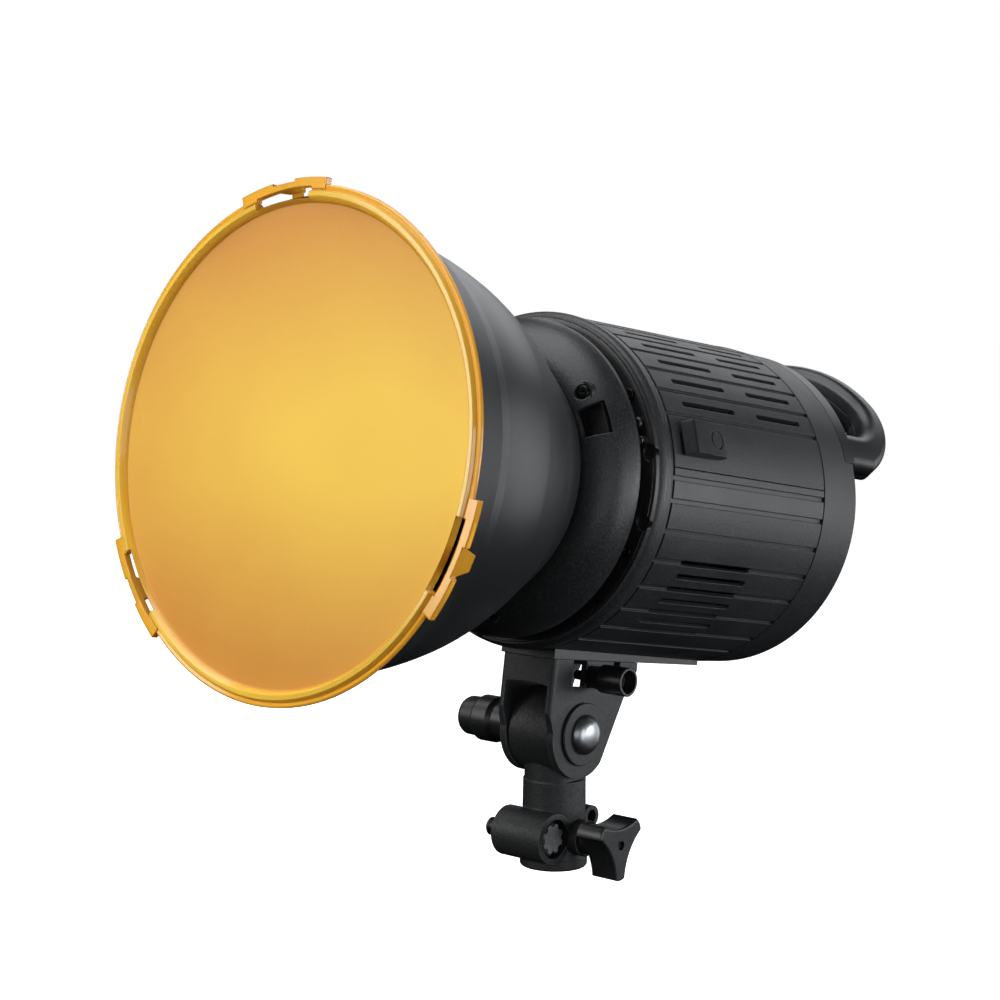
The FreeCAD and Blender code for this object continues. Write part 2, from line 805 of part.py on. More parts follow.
def make_dial(label, spot, radius, front, rear, flutes, flute_radius):
    """A fluted dial on a shaft through the panel, with a pointer groove in its face."""
    body = new_body(label)
    revolve(body, outline(new_sketch(body, "YZ_Plane"), [
        (258.0, 0), (258.0, 3.2), (front, 3.2), (front, radius), (rear - 1.2, radius - 0.3),
        (rear, radius - 1.5), (rear, 0)]))
    flute = new_sketch(body, "XZ_Plane", -(front + 1.5))
    round_hole(flute, 0, radius + flute_radius * 0.45, flute_radius)
    pattern(body, pocket(body, flute, rear - front), flutes, 360.0 - 360.0 / flutes)
    pointer = new_sketch(body, "XZ_Plane", -(rear - 0.7))
    rectangle(pointer, -0.6, radius * 0.35, 0.6, radius - 1.2)
    pocket(body, pointer, 2.0)
    finish_node(label, body, shifted(*spot))


def make_buttons():
    names = ("mode_button", "group_button", "test_button")
    for name, spot in zip(names, BUTTON_SPOTS):
        turned(name, [(264.3, 0), (264.3, 4.1), (265.7, 4.1), (265.7, 3.0), (271.2, 3.0),
                      (271.8, 2.4), (271.8, 0)], shifted(*spot))


ROCKER_PIVOT_DEPTH = 267.5
ROCKER_OFF_ANGLE = 7.0


def make_power_switch():
    """Switch housing with an open well, and the rocker that tips in it."""
    x, z = ROCKER_SPOT
    outer = join([block(15.6, 1.6, 21.6, x, 269.5, z - 10.8), block(13.0, 15.0, 19.0, x, 255.0, z - 9.5)])
    finish_node("switch_housing", cut(outer, block(11.2, 12.0, 16.4, x, 260.0, z - 8.2)), LAMP)
    body = new_body("power_rocker")
    pad(body, outline(new_sketch(body, "YZ_Plane"), [
        (-4.0, -5.0), (0.5, -7.3), (4.6, -7.3), (3.7, 0.0), (4.6, 7.3), (0.5, 7.3), (-4.0, 5.0)]),
        10.6, both_ways=True)
    place = LAMP.multiply(Placement(Vector(x, ROCKER_PIVOT_DEPTH, z),
                                    Rotation(Vector(1, 0, 0), -ROCKER_OFF_ANGLE)))
    finish_node("power_rocker", body, place)


def make_power_inlet():
    """Three-pin appliance inlet: flanged shroud and its blades."""
    x, z = INLET_SPOT
    shroud = join([block(30.6, 1.8, 23.0, x, 269.5, z - 11.5), block(27.0, 19.5, 20.0, x, 250.0, z - 10.0)])
    mouth = block(24.0, 16.4, 16.0, x, 255.4, z - 8.0)
    finish_node("power_inlet", cut(shroud, mouth), LAMP)
    blades = [block(2.0, 12.8, 4.0, x + across, 254.9, z + up - 2.0)
              for across, up in ((-7.0, -1.2), (7.0, -1.2), (0.0, 2.8))]
    finish_node("inlet_pins", group(blades), LAMP)


# Handle
def fillet(body, radius, choose):
    """Rounds the edges of the body's last shape whose middle point the choice accepts."""
    doc.recompute()
    base = body.Tip
    names = []
    for number, edge in enumerate(base.Shape.Edges, start=1):
        if choose(edge.valueAt((edge.FirstParameter + edge.LastParameter) / 2), edge):
            names.append("Edge%d" % number)
    feature = body.newObject("PartDesign::Fillet", "Rounding")
    feature.Base = (base, names)
    feature.Radius = radius
    body.Tip = feature
    doc.recompute()
    return feature


GRIP_VIEW = 45.0
FOOT_SLOPE = math.tan(math.radians(18.2))


def side_cut(body, side, points, length=80.0):
    """Cuts an outline through one flank of the handle, seen square to its corner."""
    drawing = new_sketch(body, "XY_Plane", 0.0, -side * GRIP_VIEW)
    mirrored = [(size_of(p[0]) * side,) + tuple(p[1:2]) + tuple(side * r for r in p[2:])
                for p in points]
    return pocket(body, outline(drawing, mirrored), length, backwards=True)


def make_handle_shell(label, inner, outer, rim_radius, soft):
    """One layer of the arched handle: two feet, large outer corners and a finger opening."""
    body = new_body(label)
    front = S.cap_rear + 0.15
    rear = S.grip_rear
    bar = S.grip_rear - S.grip_bar
    far = 60.0
    before = 270.0
    revolve(body, outline(new_sketch(body, "YZ_Plane"), [
        (front, inner), (front, outer), (rear + 5.0, outer), (rear + 5.0, inner)]))
    below = outline(new_sketch(body, "XZ_Plane", -before), [
        (-80, -80), (80, -80), (80, 80 * FOOT_SLOPE), (0, 0), (-80, 80 * FOOT_SLOPE)])
    pocket(body, below, 60.0)
    for side in (1, -1):
        side_cut(body, side, [
            (S.grip_foot, before), (S.grip_foot, rear - S.grip_corner),
            (S.grip_foot - S.grip_corner, rear, SIZES["grip_corner"]), (-far, rear),
            (-far, rear + 20.0), (far, rear + 20.0), (far, before)])
    for side in (1, -1):
        side_cut(body, side, [
            (S.grip_mouth, before), (S.grip_mouth, bar - S.grip_bend),
            (S.grip_mouth - S.grip_bend, bar, SIZES["grip_bend"]), (-far, bar), (-far, before)])

    def on_rim(middle, edge):
        reach = math.hypot(middle.x, middle.z)
        return abs(reach - rim_radius.value) < 0.2 and middle.y > front.value + 0.1

    fillet(body, soft, on_rim)
    if label == "handle_outer_shell":
        tongue = sector(new_sketch(body, "XZ_Plane", -front), FOOT_INNER, outer, FOOT_HALF_ANGLE)
        pad(body, tongue, front.value - FOOT_FRONT)
    finish_node(label, body, LAMP)


def make_handle():
    middle = 60.2
    make_handle_shell("handle_outer_shell", size_of(middle + 0.08), S.grip_outer, S.grip_outer, 4.6)
    make_handle_shell("handle_inner_shell", S.grip_inner, size_of(middle - 0.08), S.grip_inner, 4.0)
    screws = []
    for turn, depth in ((25.6, 280.0), (60.0, 311.0), (120.0, 311.0), (154.4, 280.0)):
        head = rod("x", 2.2, 1.6, 52.6, depth, 0)
        shank = rod("x", 1.1, 9.0, 54.1, depth, 0)
        screws.append(turn_about_axis(join([head, shank]), turn))
    finish_node("handle_screws", group(screws), LAMP)


# Latch
def make_latch():
    """Sliding release latch with a sloped thumb face, its lock pin and its spring."""
    body = new_body("release_latch")
    seat = 68.4
    top = 73.4
    thumb_face = top - 0.7
    pad(body, outline(new_sketch(body, "YZ_Plane"), [
        (146.6, seat), (148.6, top - 0.6), (149.2, top), (158.7, top), (159.2, thumb_face),
        (168.8, thumb_face), (170.0, thumb_face - 1.2), (170.0, seat)]), 13.2, both_ways=True)
    pad(body, rectangle(new_sketch(body, "YZ_Plane"), 148.0, 56.2, 153.0, seat + 0.5), 4.0,
        both_ways=True)
    thumb = new_sketch(body, "XY_Plane", thumb_face + 1.0)
    round_hole(thumb, 0, 163.7, 3.9)
    round_hole(thumb, 0, 163.7, 3.2)
    pocket(body, thumb, 1.5)
    place = LAMP.multiply(Placement(Vector(), Rotation(Vector(0, 1, 0), 90 - LATCH_TURN)))
    finish_node("release_latch", body, place)
    pin = rod("y", LOCK_PIN_RADIUS, 20.0, 59.6, 130.8, 0)
    finish_node("lock_pin", turn_about_axis(pin, LATCH_TURN), LAMP)
    coil = doc.addObject("Part::Helix", "Coil")
    coil.Pitch = 1.5
    coil.Height = 10.2
    coil.Radius = 2.2
    section = doc.addObject("Part::Circle", "Wire")
    section.Radius = 0.3
    section.Placement = Placement(Vector(2.2, 0, 0), Rotation(Vector(1, 0, 0), 90))
    spring = doc.addObject("Part::Sweep", "Spring")
    spring.Sections = [section]
    spring.Spine = (coil, ["Edge1"])
    spring.Solid = True
    spring.Frenet = True
    spring_place = Placement(Vector(59.6, 153.6, 0), AXES["y"])
    spring_place = Placement(Vector(), Rotation(Vector(0, 1, 0), -LATCH_TURN)).multiply(spring_place)
    finish_node("latch_spring", spring, LAMP.multiply(spring_place))
    bracket = join([block(9.0, 2.0, 9.4, 0, 164.4, 53.6), block(9.0, 28.35, 2.0, 0, 138.05, 53.6),
                    block(9.0, 2.0, 6.9, 0, 138.05, 50.6)])
    stop_place = Placement(Vector(), Rotation(Vector(0, 1, 0), 90 - LATCH_TURN))
    finish_node("spring_bracket", bracket, LAMP.multiply(stop_place))


# Light source and cooling
def make_light_source():
    turned("glass_holder", [
        (127.8, 39.6), (127.8, 40.4), (134.0, 40.4), (138.4, 43.6), (138.4, 50.0), (140.4, 50.0),
        (140.4, 22.0), (138.0, 22.0), (130.6, 36.0), (130.6, 39.6)])
    turned("glass_cover", [(128.9, 0), (128.9, 39.3), (130.4, 39.3), (130.4, 0)])
    turned("glass_ring", [(127.9, 36.6), (127.9, 39.4), (128.8, 39.4), (128.8, 36.6)])
    board = cut(block(52.0, 1.8, 52.0, 0, 142.4, -26.0), join([
        rod("y", 1.7, 4.0, x, 141.0, z) for x in (-21.0, 21.0) for z in (-21.0, 21.0)]))
    finish_node("led_board", board, LAMP)
    turned("led_emitter", [(141.6, 0), (141.6, 19.0), (142.3, 19.5), (142.3, 0)])
    screws = [screw("y", 2.6, 1.4, 1.4, 7.0, x, 142.3, z, -1)
              for x in (-21.0, 21.0) for z in (-21.0, 21.0)]
    finish_node("led_screws", group(screws), LAMP)


def make_heat_sink():
    """Base plate, solid core and a ring of radial fins."""
    body = new_body("heat_sink")
    outer = S.sink_radius
    revolve(body, outline(new_sketch(body, "YZ_Plane"), [
        (144.3, 0), (144.3, outer), (150.0, outer), (152.0, 15.0), (190.0, 13.0), (190.0, 0)]))
    fin = pad(body, rectangle(new_sketch(body, "XZ_Plane", -149.0), -0.7, 12.0, 0.7, outer - 0.2),
              44.0, backwards=True)
    pattern(body, fin, 28, 360.0 - 360.0 / 28)
    finish_node("heat_sink", body, LAMP)


def make_fan():
    """Square fan frame with three struts, and a rotor of seven raked blades."""
    size = S.fan_size
    front = S.fan_front
    deep = S.fan_depth
    shell = cut(block(size, deep, size, 0, front, size * -0.5), rod("y", 38.4, 40.0, 0, 190.0, 0))
    hub = rod("y", 15.0, 4.0, 0, 221.0, 0)
    struts = []
    for turn in (90.0, 210.0, 330.0):
        struts.append(turn_about_axis(block(28.0, 4.0, 4.0, 26.0, 221.0, -2.0), turn))
    frame = join([shell, hub] + struts)
    holes = join([rod("y", 2.2, 40.0, x, 190.0, z) for x in (-35.75, 35.75) for z in (-35.75, 35.75)])
    finish_node("fan_frame", cut(frame, holes), LAMP)
    blades = [cut(rod("y", 17.0, 18.0, 0, 202.0, 0), rod("y", 1.6, 10.0, 0, 212.0, 0))]
    for number in range(7):
        blade = block(22.0, 1.4, 20.0, 26.0, -0.7, -10.0)
        rake = Placement(Vector(0, 211.0, 0), Rotation(Vector(1, 0, 0), 48.0))
        blade.Placement = rake.multiply(blade.Placement)
        blades.append(turn_about_axis(blade, number * 360.0 / 7))
    finish_node("fan_rotor", common(join(blades), rod("y", 37.4, 18.6, 0, 201.7, 0)), LAMP)
    screws = [screw("y", 3.4, 2.2, 2.0, 27.0, x, 225.1, z, 1)
              for x in (-35.75, 35.75) for z in (-35.75, 35.75)]
    finish_node("fan_screws", group(screws), LAMP)


def make_driver():
    """Power board under the heat sink, with its tall parts."""
    level = DRIVER_LEVEL
    finish_node("driver_board", block(56.0, 84.0, 1.6, 0, 152.0, level), LAMP)
    top = level + 1.65
    coil = join([block(16.0, 14.0, 8.4, -14.0, 158.0, top), block(10.0, 18.0, 6.0, -14.0, 156.0, top)])
    finish_node("driver_transformer", coil, LAMP)
    cans = [rod("z", 4.6, 8.6, x, y, top) for x, y in ((8.0, 164.0), (19.0, 164.0), (8.0, 176.0))]
    finish_node("driver_capacitors", group(cans), LAMP)


# Bracket under the lamp
PIVOT = LAMP.multiply(Placement(Vector(0, SIZES["pivot_depth"], -SIZES["pivot_drop"]), Rotation()))
SIDE_LOCK_DROP = 76.6
SIDE_LOCK_DEPTH = 171.0
SIDE_LOCK_SHANK = 2.0
SIDE_LOCK = LAMP.multiply(Placement(Vector(0, SIDE_LOCK_DEPTH, -SIDE_LOCK_DROP), Rotation()))


def turned_across(label, points, frame):
    """A piece turned about a lateral axis from an outline of (x, radius) points."""
    body = new_body(label)
    revolve(body, outline(new_sketch(body, "XZ_Plane"), points))
    finish_node(label, body, frame)
    return body


def make_rail():
    """Rail between the body and the yoke, hollowed to the body's flare."""
    slab = block(S.rail_wide, 98.0, 12.0, 0, 146.0, -70.1)
    hollow = taper("y", S.front_radius + 0.1, S.rear_radius + 0.1, S.seam_rear - S.seam_front,
                   0, S.seam_front, 0)
    finish_node("base_rail", cut(slab, hollow), LAMP)


def make_yoke():
    """Yoke bent from one sheet: front web, two cheeks and a top plate."""
    body = new_body("tilt_yoke")
    front = 147.0
    pivot_y = S.pivot_depth
    pivot_z = -S.pivot_drop
    nose = S.yoke_nose
    top = -S.yoke_top
    inside = S.yoke_half - S.yoke_sheet
    pad(body, outline(new_sketch(body, "YZ_Plane"), [
        (front, top), (front, -92.0), (pivot_y - nose, pivot_z), (pivot_y, pivot_z - nose, 18.31),
        (pivot_y + 14.2, pivot_z - 11.6, 18.4), (196.6, -79.0), (201.2, -73.6), (201.2, top)]),
        S.yoke_half * 2, both_ways=True)
    hollow = new_sketch(body, "XZ_Plane", -(front + SIZES["yoke_sheet"]))
    rectangle(hollow, -inside, -130, inside, top - 1.8)
    pocket(body, hollow, 60.0)
    arch = outline(new_sketch(body, "XZ_Plane", -140.0), [
        (-inside, -130), (inside, -130), (inside, -81.2), (-inside, -81.2, 90.0)])
    pocket(body, arch, 40.0)
    bolt_hole = new_sketch(body, "YZ_Plane")
    round_hole(bolt_hole, pivot_y, pivot_z, S.bolt_radius + 0.05)
    pocket(body, bolt_hole, 60.0, both_ways=True)
    windows = new_sketch(body, "YZ_Plane")
    rectangle(windows, 158.6, -81.0, 167.6, top + 1)
    pocket(body, windows, 60.0, both_ways=True)
    lock_hole = new_sketch(body, "YZ_Plane")
    round_hole(lock_hole, SIDE_LOCK_DEPTH, -SIDE_LOCK_DROP, SIDE_LOCK_SHANK + S.running_gap)
    pocket(body, lock_hole, 20.0, backwards=True)
    trimmed = outline(new_sketch(body, "YZ_Plane", -inside), [
        (196.6, top + 1), (196.0, -72.2), (191.9, -80.4), (pivot_y + 14.2, pivot_z - 11.6),
        (205.0, pivot_z - 11.6), (205.0, top + 1)])
    pocket(body, trimmed, 6.0)
    notch = new_sketch(body, "YZ_Plane")
    rectangle(notch, 185.0, top - 2.4, 189.5, top + 1)
    pocket(body, notch, 60.0, both_ways=True)
    fillet(body, 2.0, lambda middle, edge: abs(middle.y - front) < 0.01
           and abs(abs(middle.x) - S.yoke_half.value) < 0.01 and middle.z < -74)
    finish_node("tilt_yoke", body, LAMP)
    screws = [screw("z", 2.3, 1.4, 1.2, 4.0, x, y, -72.05, -1)
              for x in (-7.6, 7.6) for y in (154.5, 193.5)]
    finish_node("yoke_screws", group(screws), LAMP)


def make_pivot():
    """Domed pivot bolt, its washers and the friction discs against the adapter's barrel."""
    face = SIZES["yoke_half"]
    bolt = S.bolt_radius
    turned_across("pivot_bolt", [
        (-40.5, 0), (-40.5, bolt), (face + 1.65, bolt), (face + 1.65, 8.2), (face + 2.6, 8.2),
        (face + 5.6, 4.6, -6.2), (face + 6.2, 0, -18.0)], PIVOT)
    turned_across("near_washer", [
        (face + 0.05, bolt + 0.05), (face + 0.05, 12.4), (face + 0.9, 12.9), (face + 1.6, 12.5),
        (face + 1.6, bolt + 0.05)], PIVOT)
    turned_across("far_washer", [
        (-face - 1.3, bolt + 0.05), (-face - 1.3, 10.0), (-face - 0.05, 10.0),
        (-face - 0.05, bolt + 0.05)], PIVOT)
    discs = []
    for start in (9.95, -10.9):
        discs.append(cut(rod("x", S.disc_radius, 0.95, start), rod("x", bolt + 0.05, 4.0, start - 1.5)))
    finish_node("friction_discs", group(discs), PIVOT)


def make_tilt_knob():
    """Stepped clamp knob on the pivot bolt's far end, with a cap in its face."""
    bore = S.bolt_radius + S.running_gap
    turned_across("tilt_knob", [
        (-41.1, 0), (-47.5, 0), (-47.5, 6.6), (-46.9, 7.6), (-45.7, 8.2), (-38.7, 8.4),
        (-38.5, 9.4), (-37.9, 9.7), (-30.5, 9.7), (-29.5, 8.6), (-28.5, 8.0), (-15.6, 8.0),
        (-15.6, bore), (-41.1, bore)], PIVOT)
    turned_across("tilt_knob_cap", [
        (-49.1, 0), (-49.1, 4.6), (-48.5, 5.4), (-47.55, 5.4), (-47.55, 0)], PIVOT)


def make_side_lock():
    """Hollow-ended lock knob whose screw runs through the near cheek of the yoke."""
    shank = SIDE_LOCK_SHANK
    turned_across("side_lock_knob", [
        (5.7, 0), (5.7, shank - 0.6), (6.3, shank), (14.3, shank), (14.3, 4.6), (19.4, 4.8),
        (20.6, 5.8), (32.9, 5.9), (33.2, 5.6), (33.2, 4.7), (27.4, 4.5), (27.4, 0)], SIDE_LOCK)


# Stand adapter, drawn in the row frame
CROSS_AXIS = (-13.7, 14.6)
REAR_BOSS_AXIS = (14.0, 18.8)


def make_adapter():
    """Casting: tilt barrel, tapered tube over the socket, base flange and three side bosses."""
    height = S.pivot_height
    cross_y, cross_z = CROSS_AXIS
    boss_y, boss_z = REAR_BOSS_AXIS
    half = S.barrel_half
    barrel = rounded(rod("x", S.barrel_radius, half * 2, -half, 0, height), 1.0,
                     lambda middle, edge: abs(abs(middle.x) - half.value) < 0.01)
    tube = taper("z", S.tube_radius + 0.4, S.tube_radius, S.shoulder_height)
    neck = common(rod("z", 12.4, 30.0, 0, 0, S.shoulder_height - 10.0),
                  block(half * 2 - 0.2, 30.0, 34.0, 0, -15.0, S.shoulder_height - 12.0))
    flange = rounded(rod("z", S.tube_radius + 1.0, 4.2), 1.0,
                     lambda middle, edge: middle.z < 0.01)
    cross = join([taper("x", 9.6, 10.3, 0.7, -14.1, cross_y, cross_z),
                  rod("x", 10.3, 25.4, -13.4, cross_y, cross_z)])
    clamp = rod("x", 7.4, 17.6, 0, 0, S.clamp_height)
    rear = rod("x", 4.6, 15.5, -6.8, boss_y, boss_z)
    solid = join([barrel, tube, neck, flange, cross, clamp, rear])
    hollows = join([
        rod("z", S.socket_radius, S.socket_deep, 0, 0, 0),
        rod("x", S.bolt_radius + S.running_gap, 40.0, -20.0, 0, height),
        rod("x", S.disc_radius + 0.4, 4.0, S.disc_seat, 0, height),
        rod("x", S.disc_radius + 0.4, 4.0, -S.disc_seat - 4.0, 0, height),
        rod("x", 3.06, 20.0, 2.0, 0, S.clamp_height),
        rod("x", 8.0, 6.0, 7.4, cross_y, cross_z),
        rod("x", 3.1, 40.0, -24.0, cross_y, cross_z),
        rod("x", 2.8, 9.0, 0.7, boss_y, boss_z)])
    finish_node("stand_adapter", cut(solid, hollows), STAND)


def make_cross_bolt():
    cross = Placement(Vector(0, *CROSS_AXIS), Rotation())
    turned_across("cross_bolt", [
        (-22.6, 0), (-22.6, 3.0), (-21.8, 3.8), (-20.6, 3.8), (-20.3, 3.4), (-20.0, 3.8),
        (-18.8, 3.8), (-18.5, 3.4), (-18.2, 3.8), (-14.2, 3.8), (-14.2, 2.95), (8.6, 2.95),
        (8.6, 0)], cross)
    body = new_body("cross_nut")
    disc = new_sketch(body, "YZ_Plane", 7.5)
    round_hole(disc, 0, 0, 6.1)
    pad(body, disc, 3.6)
    flutes = new_sketch(body, "YZ_Plane", 11.2)
    for number in range(8):
        y, z = on_circle(6.4, number * 45.0)
        round_hole(flutes, y, z, 1.5)
    pocket(body, flutes, 3.8)
    bore = new_sketch(body, "YZ_Plane", 8.7)
    round_hole(bore, 0, 0, 3.0)
    pocket(body, bore, 2.0)
    finish_node("cross_nut", body, cross)


CLAMP = Placement(Vector(0, 0, SIZES["clamp_height"]), Rotation())


def make_clamp():
    """Clamp screw and its three-lobed handle."""
    turned_across("clamp_screw", [
        (8.4, 0), (8.4, 2.5), (8.9, 3.0), (30.0, 3.0), (30.0, 0)], CLAMP)
    body = new_body("clamp_handle")
    neck = new_sketch(body, "YZ_Plane", 18.2)
    round_hole(neck, 0, 0, 6.2)
    pad(body, neck, 9.0)
    corners = []
    tip_reach = 14.0
    tip_half = 12.0
    for lobe in (30.0, 150.0, 270.0):
        for edge, radius in ((-tip_half, -25.0), (tip_half, 6.0)):
            y, z = on_circle(tip_reach, lobe + edge)
            corners.append((y, z, radius))
    pad(body, outline(new_sketch(body, "YZ_Plane", 22.8), corners), 12.4)
    bore = new_sketch(body, "YZ_Plane", 18.0)
    round_hole(bore, 0, 0, 3.02)
    pocket(body, bore, 12.1, backwards=True)
    key = new_sketch(body, "YZ_Plane", 37.8)
    round_hole(key, 0, 0, 1.9)
    pocket(body, key, 4.6)
    fillet(body, 0.9, lambda middle, edge: abs(middle.x - 35.2) < 0.01
           and math.hypot(middle.y, middle.z) > 4)
    finish_node("clamp_handle", body, CLAMP)


def build_nodes():
    make_filter()
    make_bowl()
    make_collar()
    make_bayonet()
    make_collar_screws()
    make_bezel()
    make_mount_ring()
    make_mount_screws()
    make_upper_cover()
    make_lower_cover()
    make_rear_cap()
    make_rear_panel()
    make_display()
    make_dial("brightness_dial", BRIGHTNESS_SPOT, 11.0, 271.0, 284.0, 18, 1.1)
    make_dial("channel_dial", CHANNEL_SPOT, 8.0, 271.0, 281.0, 12, 1.1)
    make_buttons()
    make_power_switch()
    make_power_inlet()
    make_handle()
    make_latch()
    make_light_source()
    make_heat_sink()
    make_fan()
    make_driver()
    make_rail()
    make_yoke()
    make_pivot()
    make_tilt_knob()
    make_side_lock()
    make_adapter()
    make_cross_bolt()
    make_clamp()


def check_and_export():
    """Stops on any failed object, then writes one file for each piece."""
    doc.recompute()
    failed = []
    for thing in doc.Objects:
        if "Invalid" in thing.State or "Error" in thing.State:
            owner = thing.getParentGeoFeatureGroup()
            failed.append("%s in %s" % (thing.Name, owner.Label if owner else "the document"))
    if failed:
        raise RuntimeError("failed: " + ", ".join(failed))
    os.makedirs("parts", exist_ok=True)
    for label, thing in nodes.items():
        if thing.Shape.isNull() or not thing.Shape.isValid():
            raise RuntimeError("%s has no valid shape" % label)
        thing.Shape.exportStep("parts/%s.step" % label)
        print("%-22s %2d solid(s) %10.1f mm3" % (label, len(thing.Shape.Solids),
                                                thing.Shape.Volume))


build_nodes()
check_and_export()
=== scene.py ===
"""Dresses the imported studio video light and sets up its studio, from the front right."""
import logging
import math
from dataclasses import dataclass
from enum import Enum
from typing import Callable

import bpy
from mathutils import Matrix, Vector


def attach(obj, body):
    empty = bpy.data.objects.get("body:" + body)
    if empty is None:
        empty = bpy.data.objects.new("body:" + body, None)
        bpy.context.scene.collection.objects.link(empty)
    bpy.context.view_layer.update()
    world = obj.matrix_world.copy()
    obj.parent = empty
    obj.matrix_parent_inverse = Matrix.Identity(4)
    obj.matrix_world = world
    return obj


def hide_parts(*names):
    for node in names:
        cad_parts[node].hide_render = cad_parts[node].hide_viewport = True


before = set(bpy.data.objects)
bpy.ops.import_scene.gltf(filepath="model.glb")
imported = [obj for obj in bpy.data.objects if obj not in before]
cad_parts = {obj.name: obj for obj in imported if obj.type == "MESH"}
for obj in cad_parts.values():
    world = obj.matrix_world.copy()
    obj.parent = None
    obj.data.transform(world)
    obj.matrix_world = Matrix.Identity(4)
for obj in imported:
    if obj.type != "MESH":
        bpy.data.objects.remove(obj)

Socket = bpy.types.NodeSocket
Colour = tuple[float, float, float, float]
Spot = tuple[float, float]
Triple = tuple[float, float, float]

LOG = logging.getLogger("video_light")
MM = 0.001
REST_TILT = 8.2
PIVOT_DEPTH = 168.5
PIVOT_DROP = 100.0
PIVOT_HEIGHT = 56.0


class Body(str, Enum):
    """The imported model's bodies that carry a piece modelled here."""

    HEAD = "head"
    REFLECTOR = "reflector"
    ROCKER = "rocker"


def lamp_matrix() -> Matrix:
    """Gives the lamp's own frame: X lateral, Y back along its axis in millimetres, Z up from it.

    Returns:
        The matrix from lamp millimetres to the row frame in metres.
    """
    tilt = Matrix.Rotation(math.radians(-REST_TILT), 4, "X")
    to_pivot = Matrix.Translation(Vector((0, -PIVOT_DEPTH, PIVOT_DROP)))
    lift = Matrix.Translation(Vector((0, 0, PIVOT_HEIGHT)))
    return Matrix.Scale(MM, 4) @ lift @ tilt @ to_pivot


LAMP = lamp_matrix()
LAMP_START = LAMP @ Vector((0.0, 0.0, 0.0))
LAMP_AXIS = (LAMP.to_3x3() @ Vector((0, 1, 0))).normalized()
# Turns a flat mark, read from +Z, to be read from behind the lamp
TO_BACK = Matrix(((-1, 0, 0, 0), (0, 0, 1, 0), (0, 1, 0, 0), (0, 0, 0, 1)))


